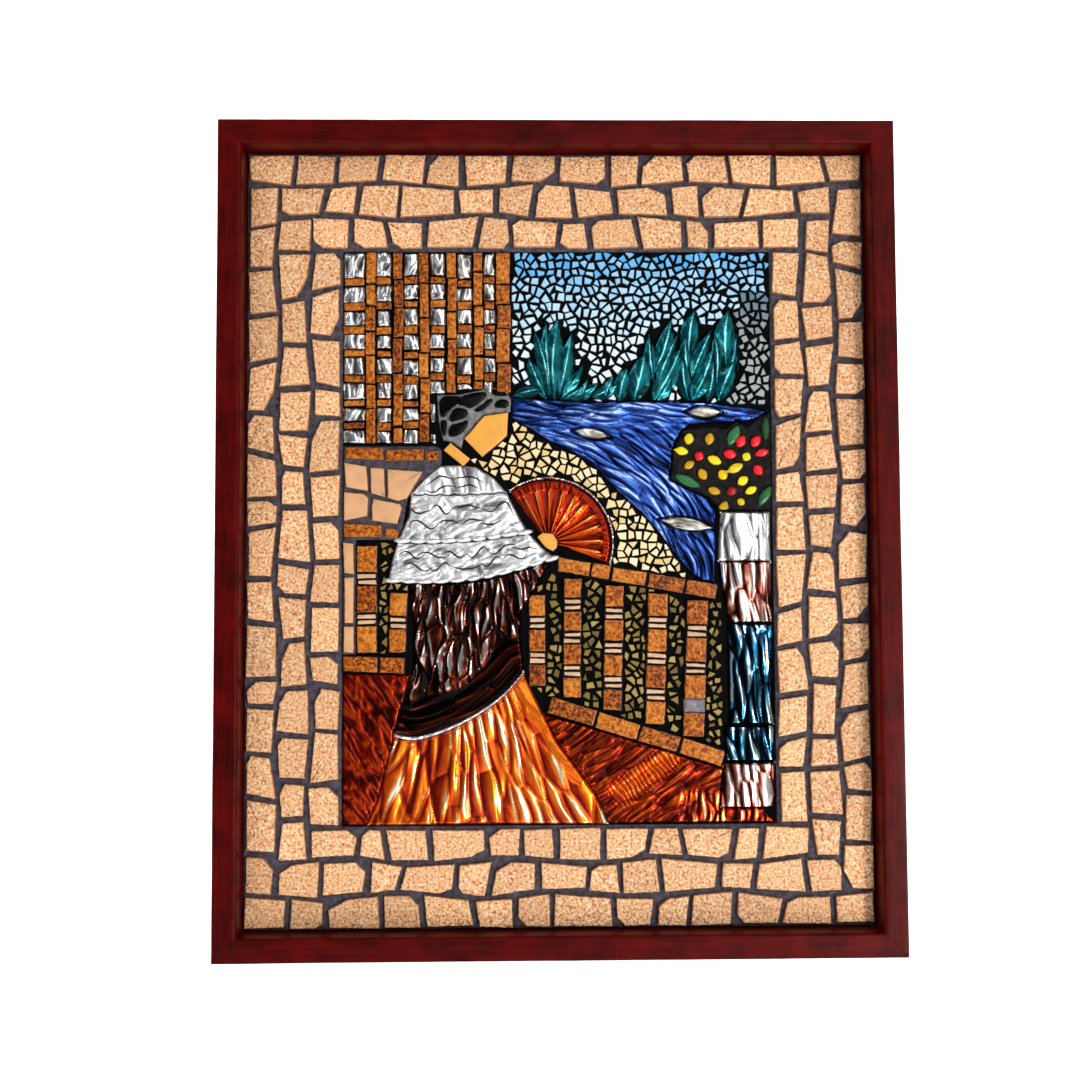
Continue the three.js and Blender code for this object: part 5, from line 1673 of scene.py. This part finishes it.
def build_skirts():
    look = settings().foil
    trim, _ = footprint("skirt_trim")
    line = middle_line(trim, 60)

    # The upper skirt's folds spread from a point far above the waist.
    spread_x, spread_y, spread_radius = -58, 170, 235

    def dark_folds(points):
        reach, turn = about(points, spread_x, spread_y)
        upper, upper_tone = folded(-turn * spread_radius / look.dark_fold, reach / 28, 41, 0.8, 3.6, 0.7, 0.8)
        far, spot = nearest_on(points, line, closed=False)
        lower, lower_tone = folded(far / 6.5, spot[:, 0] / 46, 43, 1.0, 2.4, 0.4)
        share = ease(far - 3.5 * np.sin(points[:, 0] / 9), 22, 30)
        return blend(lower, upper, share), blend(lower_tone * 0.72, upper_tone, share)

    # Dark brown lacquer on foil: black in the folds, red-brown on their flanks, bare metal at their crests.
    brown = foil_of(
        "dark_brown_foil",
        (0.35, "#060202"),
        (0.56, "#420E04"),
        (0.75, "#8A3818"),
        (0.85, "#E8C0AC"),
        (0.92, "#FFFFFF"),
        roughness=0.2,
        cloudy=0.16,
    )
    embossed_foil("dark_skirt_foil", "dark_skirt", "dark_brown_foil", brown, dark_folds)
    flank = np.array([(-33, -100), (13, -176)])
    # The lower skirt's pleats spread from a point near the waist.
    waist_x, waist_y, hem_radius = -76, -20, 150

    def pleats(points):
        reach, turn = about(points, waist_x, waist_y)
        height, tone = folded(turn * hem_radius / look.fold, reach / 44, 47, 0.8, 3.8, 0.6, 0.85)
        # A broad smooth panel hangs down the right side.
        far, spot = nearest_on(points, flank, closed=False)
        soft = crumple((points[:, 0] + points[:, 1]) / 13, spot[:, 1] / 34, 49)
        panel = 1 - ease(far, 5.5, 9)
        return blend(height, 2.4 + 1.4 * soft, panel), blend(tone, 0.5 + 0.24 * soft, panel)

    # Orange lacquer on foil: red where it pooled between the pleats, golden and cream on their crests.
    orange = foil_of(
        "orange_foil",
        (0.08, "#740B00"),
        (0.3, "#CC3A02"),
        (0.54, "#F86407"),
        (0.84, "#FF8A18"),
        (0.96, "#FFF0D2"),
        roughness=0.26,
        cloudy=0.16,
        metallic=0.8,
    )
    embossed_foil("orange_skirt_foil", "orange_skirt", "orange_foil", orange, pleats)

    def scalloped(points):
        _, spot = nearest_on(points, line, closed=False)
        lobe = np.abs(np.sin(spot[:, 0] * np.pi / look.scallop)) ** 0.6
        return 1.4 + 1.9 * lobe, 0.25 + 0.7 * lobe

    embossed_foil("skirt_trim_ribbon", "skirt_trim", "silver_foil", pearl_foil(), scalloped, tuck=0.8)


def fitted_circle(points):
    """The centre and radius of the circle that passes closest to some points."""
    x, y = points.T
    (a, b, c), *_ = np.linalg.lstsq(np.c_[x, y, np.ones(len(x))], x**2 + y**2, rcond=None)
    return a / 2, b / 2, math.sqrt(c + a * a / 4 + b * b / 4)


def build_fan():
    look = settings().foil
    rim, _ = footprint("fan_rim")
    far = np.hypot(*(rim - rim.mean(0)).T)
    x, y, radius = fitted_circle(rim[np.argsort(-far)[: len(rim) // 2]])
    reach, turn = about(rim, x, y)
    first, last = turn.min(), turn.max()

    def pleated(points):
        reach, turn = about(points, x, y)
        place = np.mod((turn - first) / (last - first) * look.ribs + 0.45, 1)
        climb = place * (1 - ease(place, 0.9, 1.0))
        band = ease(reach, radius - 9, radius - 7.5)
        fine = crumple(turn * 22, reach / 16, 61)
        height = blend(1.0 + 1.8 * climb + 0.5 * fine, 2.0 + 0.6 * fine, band)
        tone = blend(0.06 + 0.48 * climb**1.6 + 0.16 * fine, 0.18 + 0.22 * fine, band)
        return height, tone

    # Red-brown lacquer on foil with amber where the folds thin it.
    amber = foil_of(
        "amber_foil",
        (0.1, "#4E0801"),
        (0.36, "#8E1E03"),
        (0.6, "#DC5C0A"),
        (0.82, "#FFC07A"),
        (0.96, "#FFF0D4"),
        roughness=0.22,
        cloudy=0.24,
    )
    _, base = embossed_foil("fan_leaf_foil", "fan_leaf", "fan_foil", amber, pleated)
    values = {
        "Count": look.ribs,
        "Centre": (x * MM, -(base + 2.3) * MM, y * MM),
        "First Angle": first + 0.02,
        "Last Angle": last - 0.04,
        "Inner Radius": 6.5 * MM,
        "Outer Radius": (radius - 8) * MM,
        "Half Width": 1.7 * MM,
        "Seed": 4,
        "Material": amber,
    }
    seed = bpy.data.meshes.new("fan_seed")
    grown_from("fan_ribs", ribs_tree(), seed, values, "fan_foil", "fan_leaf")

    def rolled(points):
        _, turn = about(points, x, y)
        beads = np.abs(np.sin(turn * radius / 5))
        return 2.6 + 1.0 * beads, 0.45 + 0.45 * beads

    embossed_foil("fan_rim_foil", "fan_rim", "silver_foil", bright_foil(), rolled, tuck=0.9)
    parts = flat_parts("fan_hub_tile")
    hub = Pile()
    rng = np.random.default_rng(9)
    base = foot_of("fan_hub_tile")
    tile(hub, parts[max(parts)][0], base, max(parts), rng, edge=0.6, rough=0.15)
    hub.build("fan_hub", ochre_tile(), "ochre_tile", "fan_hub_tile")


# ---------------------------------------------------------------- column, flowers and floor


def build_column():
    # Thick bright foil, white on its flanks, with painted shade greying its thin creases.
    stops = [(0.04, "#4C4A4A"), (0.16, "#A8A8AA"), (0.4, "#F4F4F4"), (0.8, "#FFFFFF")]
    white_silver = foil_of("white_silver_foil", *stops, roughness=0.26, metallic=0.8)
    for node, slot, material, seed, width, length in (
        ("column_capital", "silver_foil", white_silver, 90, 8.0, 44),
        ("column_upper_copper", "copper_foil", copper_lacquer(), 91, 7.4, 38),
        ("column_upper_teal", "teal_foil", teal_lacquer(), 92, 7.0, 34),
        ("column_lower_teal", "teal_foil", teal_lacquer(), 93, 7.0, 34),
        ("column_foot", "copper_foil", copper_lacquer(), 94, 7.4, 38),
    ):
        left, _, right, _ = box_of(footprint(node)[0])

        def fluted(points, left=left, right=right, seed=seed, width=width, length=length):
            x, y = points.T
            share = np.clip((x - left) / (right - left), 0.02, 0.98)
            height, tone = folded((x + 0.06 * y) / width, y / length, seed, 0.4, 3.0, 0.6, 0.85)
            return height + 3.0 * np.sin(np.pi * share) ** 0.6, tone

        embossed_foil(node + "_wrap", node, slot, material, fluted)


def build_flowers():
    rng = np.random.default_rng(77)
    node = "flower_mosaic"
    parts = flat_parts(node)
    levels = sorted(parts)
    base = foot_of(node)
    petals, reds, leaves, bed = Pile(), Pile(), Pile(), Pile()
    # A petal whose middle is near one of these spots is red, and the others are yellow.
    near = 3.2
    red_spots = [(105.5, 58.5), (128.5, 60), (137, 69.5), (148, 69.5)]
    red_spots += [(152.5, 61), (132.5, 49.5), (149.5, 48), (129.7, 32.2)]
    for outline in parts[levels[-1]]:
        pile = reds if np.hypot(*(red_spots - outline.mean(0)).T).min() < near else petals
        tile(pile, rounded(outline, 2), base, levels[-1] + rng.uniform(-0.3, 0.3), rng, 0.5, 0.12, 1.8, 0.35)
    for outline in parts[levels[-2]]:
        tile(leaves, rounded(outline, 2), base, levels[-2] + rng.uniform(-0.2, 0.4), rng, 0.5, 0.12, 2.2, 0.3)
    outline, holes = footprint(node)
    slab(bed, outline, rough_bed(levels[0] - base, 0.9), base, spacing=1.0, tuck=2.0, holes=holes)
    for name, pile, deep, clear in (
        ("yellow", petals, "#CC9A08", "#FFE60C"),
        ("red", reds, "#A20508", "#F01420"),
        ("leaf_green", leaves, "#164A24", "#23703A"),
    ):
        enamel = snipped_enamel(name + "_enamel", deep, [(0.25, deep), (0.6, clear)], 0.3)
        pile.build(name + "_pieces", enamel, "flower_grout", node)
    soil = known("dark_flower_grout", cement, "dark_flower_grout", "#080808", "#2E2B2A", 0.15)
    piece = bed.build("flower_bed_grout", soil, "flower_grout", node, sharp=CEMENT_CREASE)
    values = {"Grains per m2": 60000.0, "Grain Radius": 0.32 * MM, "Seed": 3, "Material": soil}
    grit = bpy.data.node_groups["sand_in_cement"]
    grown_from("flower_bed_grains", grit, piece.data.copy(), values, "flower_grout", node)


def build_floor():
    def swept(points):
        x, y = points.T
        fine = crumple((x + 0.6 * y) / 4.5, (y - 0.4 * x) / 12, 101)
        return 1.0 + 1.4 * fine, evened(fine)

    # Mahogany lacquer on foil, dark and only faintly creased.
    mahogany = foil_of(
        "mahogany_foil", (0.1, "#300300"), (0.55, "#7E1402"), (0.97, "#AE3A0C"), roughness=0.38, size=14
    )
    embossed_foil("floor_left_foil", "floor_foil_left", "mahogany_foil", mahogany, swept)
    ribbed = np.array([(46, -191), (80, -165)])

    def slanted(points):
        x, y = points.T
        slope = math.radians(34)
        along = x * math.cos(slope) + y * math.sin(slope)
        across = y * math.cos(slope) - x * math.sin(slope)
        height, tone = folded(across / 5.4, along / 30, 105, 0.8, 3.0, 0.9, 0.9)
        upright, upright_tone = folded(x / 5.5, y / 22, 107, 0.8, 2.4, 0.6, 0.9)
        share = ease(x, 84, 96) * ease(-y, 186, 194)
        height, tone = blend(height, upright, share), blend(tone * 0.85, upright_tone, share)
        # One broad fold is finely ribbed across its length, and its tone is raised there as a painted
        # highlight.
        far, _ = nearest_on(points, ribbed, closed=False)
        ribs = np.abs(np.sin(along * np.pi / 3.4 + 2.5 * noise(x / 8, y / 8, 109)))
        patch = 0.8 * ease(-far, -14, -3)
        swell = 2.2 + 0.6 * ribs
        painted_highlight = 0.55 + 0.2 * ribs + 0.3 * noise(x / 5, y / 5, 110)
        return blend(height, swell, patch), blend(tone, painted_highlight, patch)

    embossed_foil("floor_right_foil", "floor_foil_right", "rust_foil", rust_lacquer(), slanted)


# ---------------------------------------------------------------- stage


def area_light(name, place, target, size, power, colour):
    data = bpy.data.lights.new(name, "AREA")
    data.shape = "DISK"
    data.size = size
    data.energy = power
    data.color = colour
    lamp = bpy.data.objects.new(name, data)
    lamp.location = place
    lamp.rotation_euler = (Vector(target) - Vector(place)).to_track_quat("-Z", "Y").to_euler()
    bpy.context.scene.collection.objects.link(lamp)


def build_stage():
    look = settings().stage
    floor, back, width, bend = -0.95, 2.4, 9.0, 1.2
    turns = np.radians(np.linspace(0, 90, 13))
    curve = [(back - bend + bend * math.sin(a), floor + bend - bend * math.cos(a)) for a in turns]
    line = [(-4.0, floor), *curve, (back, 5.0)]
    points = [(side * width / 2, y, z) for y, z in line for side in (-1, 1)]
    mesh = bpy.data.meshes.new("studio_sweep")
    strips = [[2 * k, 2 * k + 1, 2 * k + 3, 2 * k + 2] for k in range(len(line) - 1)]
    mesh.from_pydata(points, [], strips)
    mesh.shade_smooth()
    paper, tree = new_material("white_paper_sweep")
    spot = put(tree, "ShaderNodeTexCoord", out="Object")
    fibre = put(tree, "ShaderNodeTexNoise", {"Vector": spot, "Scale": 1 / (60 * MM), "Detail": 3})
    shades = [(0.3, [c * 0.97 for c in look.floor]), (0.7, list(look.floor))]
    surface = {"Base Color": put(tree, "ShaderNodeValToRGB", [fibre], stops=shades), "Roughness": 0.9}
    put(tree, "ShaderNodeOutputMaterial", [put(tree, "ShaderNodeBsdfPrincipled", surface)])
    mesh.materials.append(paper)
    sweep = bpy.data.objects.new("studio_sweep", mesh)
    bpy.context.scene.collection.objects.link(sweep)
    sweep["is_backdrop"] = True

    world = bpy.data.worlds.new("studio")
    bpy.context.scene.world = world
    world.use_nodes = True
    sky = world.node_tree.nodes["Background"]
    sky.inputs["Color"].default_value = (0.93, 0.96, 1.0, 1.0)
    sky.inputs["Strength"].default_value = 0.16
    area_light("key", (1.3, -2.2, -0.6), (0.0, 0.0, 0.0), 0.4, look.key_power, (1.0, 0.97, 0.92))
    area_light("fill", (-1.6, -1.8, 1.2), (0.0, 0.0, 0.0), 1.2, look.fill_power, (0.92, 0.96, 1.0))
    area_light("softbox", (0.8, -2.4, 0.7), (0.0, 0.0, 0.0), 2.0, look.soft_power, (1.0, 1.0, 1.0))
    backdrop_power = 130.0
    for side in (-1, 1):
        area_light("backdrop", (side * 2.2, 0.4, 2.2), (0.0, back, 0.0), 1.5, backdrop_power, (1.0, 1.0, 1.0))

    data = bpy.data.cameras.new("camera")
    data.lens = 45.0
    data.sensor_width = 36.0
    camera = bpy.data.objects.new("camera", data)
    camera.location = (-0.03234, -1.01649, -0.05893)
    camera.rotation_euler = Euler([math.radians(a) for a in (93.1565, 0.2818, -1.0518)], "XYZ")
    bpy.context.scene.collection.objects.link(camera)
    bpy.context.scene.camera = camera
    bpy.context.scene.view_settings.view_transform = "Standard"


# ---------------------------------------------------------------- operators and panel


class MOSAIC_OT_frame(bpy.types.Operator):
    """Build the four painted rails and finish the backing board"""

    bl_idname = "mosaic.build_frame"
    bl_label = "Frame"

    def execute(self, context):
        build_frame()
        return {"FINISHED"}


class MOSAIC_OT_border(bpy.types.Operator):
    """Build the border of broken floor tile and its grout, and finish the ground"""

    bl_idname = "mosaic.build_border"
    bl_label = "Border"

    def execute(self, context):
        build_border()
        return {"FINISHED"}


class MOSAIC_OT_window(bpy.types.Operator):
    """Build the window's lattice of strips and its squares of foil"""

    bl_idname = "mosaic.build_window"
    bl_label = "Window"

    def execute(self, context):
        build_window()
        return {"FINISHED"}


class MOSAIC_OT_wall(bpy.types.Operator):
    """Build the cream tiles and strips of the house wall"""

    bl_idname = "mosaic.build_wall"
    bl_label = "House wall"

    def execute(self, context):
        build_wall()
        return {"FINISHED"}


class MOSAIC_OT_balustrade(bpy.types.Operator):
    """Build the balusters and rails of the terrace"""

    bl_idname = "mosaic.build_balustrade"
    bl_label = "Balustrade"

    def execute(self, context):
        build_balustrade()
        return {"FINISHED"}


class MOSAIC_OT_chips(bpy.types.Operator):
    """Lay the chips of the sky, the beach and the garden"""

    bl_idname = "mosaic.build_chips"
    bl_label = "Chips"

    def execute(self, context):
        build_sky()
        build_ground_chips()
        return {"FINISHED"}


class MOSAIC_OT_river(bpy.types.Operator):
    """Emboss the river and its boats"""

    bl_idname = "mosaic.build_river"
    bl_label = "River"

    def execute(self, context):
        build_river()
        return {"FINISHED"}


class MOSAIC_OT_trees(bpy.types.Operator):
    """Emboss the trees and the leaves on the shore"""

    bl_idname = "mosaic.build_trees"
    bl_label = "Trees"

    def execute(self, context):
        build_trees()
        return {"FINISHED"}


class MOSAIC_OT_head(bpy.types.Operator):
    """Build the plain face and neck tiles and the hair"""

    bl_idname = "mosaic.build_head"
    bl_label = "Head"

    def execute(self, context):
        build_head()
        return {"FINISHED"}


class MOSAIC_OT_blouse(bpy.types.Operator):
    """Emboss the blouse, its scalloped hems and its marker strokes"""

    bl_idname = "mosaic.build_blouse"
    bl_label = "Blouse"

    def execute(self, context):
        build_blouse()
        return {"FINISHED"}


class MOSAIC_OT_skirts(bpy.types.Operator):
    """Emboss both skirts and the trim between them"""

    bl_idname = "mosaic.build_skirts"
    bl_label = "Skirts"

    def execute(self, context):
        build_skirts()
        return {"FINISHED"}


class MOSAIC_OT_fan(bpy.types.Operator):
    """Emboss the fan, its ribs and its rim, and build its hub"""

    bl_idname = "mosaic.build_fan"
    bl_label = "Fan"

    def execute(self, context):
        build_fan()
        return {"FINISHED"}


class MOSAIC_OT_column(bpy.types.Operator):
    """Wrap the column in pleated foil"""

    bl_idname = "mosaic.build_column"
    bl_label = "Column"

    def execute(self, context):
        build_column()
        return {"FINISHED"}


class MOSAIC_OT_flowers(bpy.types.Operator):
    """Build the flowers in their dark bed"""

    bl_idname = "mosaic.build_flowers"
    bl_label = "Flowers"

    def execute(self, context):
        build_flowers()
        return {"FINISHED"}


class MOSAIC_OT_floor(bpy.types.Operator):
    """Emboss the terrace floor"""

    bl_idname = "mosaic.build_floor"
    bl_label = "Floor foil"

    def execute(self, context):
        build_floor()
        return {"FINISHED"}


class MOSAIC_OT_stage(bpy.types.Operator):
    """Build the floor, the lights and the camera"""

    bl_idname = "mosaic.build_stage"
    bl_label = "Stage"

    def execute(self, context):
        build_stage()
        return {"FINISHED"}


BUILDERS = (
    MOSAIC_OT_frame,
    MOSAIC_OT_border,
    MOSAIC_OT_window,
    MOSAIC_OT_wall,
    MOSAIC_OT_balustrade,
    MOSAIC_OT_chips,
    MOSAIC_OT_river,
    MOSAIC_OT_trees,
    MOSAIC_OT_head,
    MOSAIC_OT_blouse,
    MOSAIC_OT_skirts,
    MOSAIC_OT_fan,
    MOSAIC_OT_column,
    MOSAIC_OT_flowers,
    MOSAIC_OT_floor,
    MOSAIC_OT_stage,
)


class MOSAIC_PT_panel(bpy.types.Panel):
    """Lists the mosaic panel's builders in the order in which they run"""

    bl_idname = "MOSAIC_PT_panel"
    bl_label = "Mosaic panel"
    bl_space_type = "VIEW_3D"
    bl_region_type = "UI"
    bl_category = "Mosaic"

    def draw(self, context):
        for builder in BUILDERS:
            self.layout.operator(builder.bl_idname)


CLASSES = (
    MosaicFrameSettings,
    MosaicTileSettings,
    MosaicChipSettings,
    MosaicFoilSettings,
    MosaicStageSettings,
    MosaicSettings,
    *BUILDERS,
    MOSAIC_PT_panel,
)


def register():
    for cls in CLASSES:
        bpy.utils.register_class(cls)
    bpy.types.Scene.mosaic_panel = PointerProperty(type=MosaicSettings)


def unregister():
    del bpy.types.Scene.mosaic_panel
    for cls in reversed(CLASSES):
        bpy.utils.unregister_class(cls)


def main():
    register()
    for builder in BUILDERS:
        group, name = builder.bl_idname.split(".")
        getattr(getattr(bpy.ops, group), name)()
    sizes = {"cad": CAD_BOX, "visual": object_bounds()}
    {name: [list(corner) for corner in box] for name, box in sizes.items()}


if __name__ == "__main__":
    main()
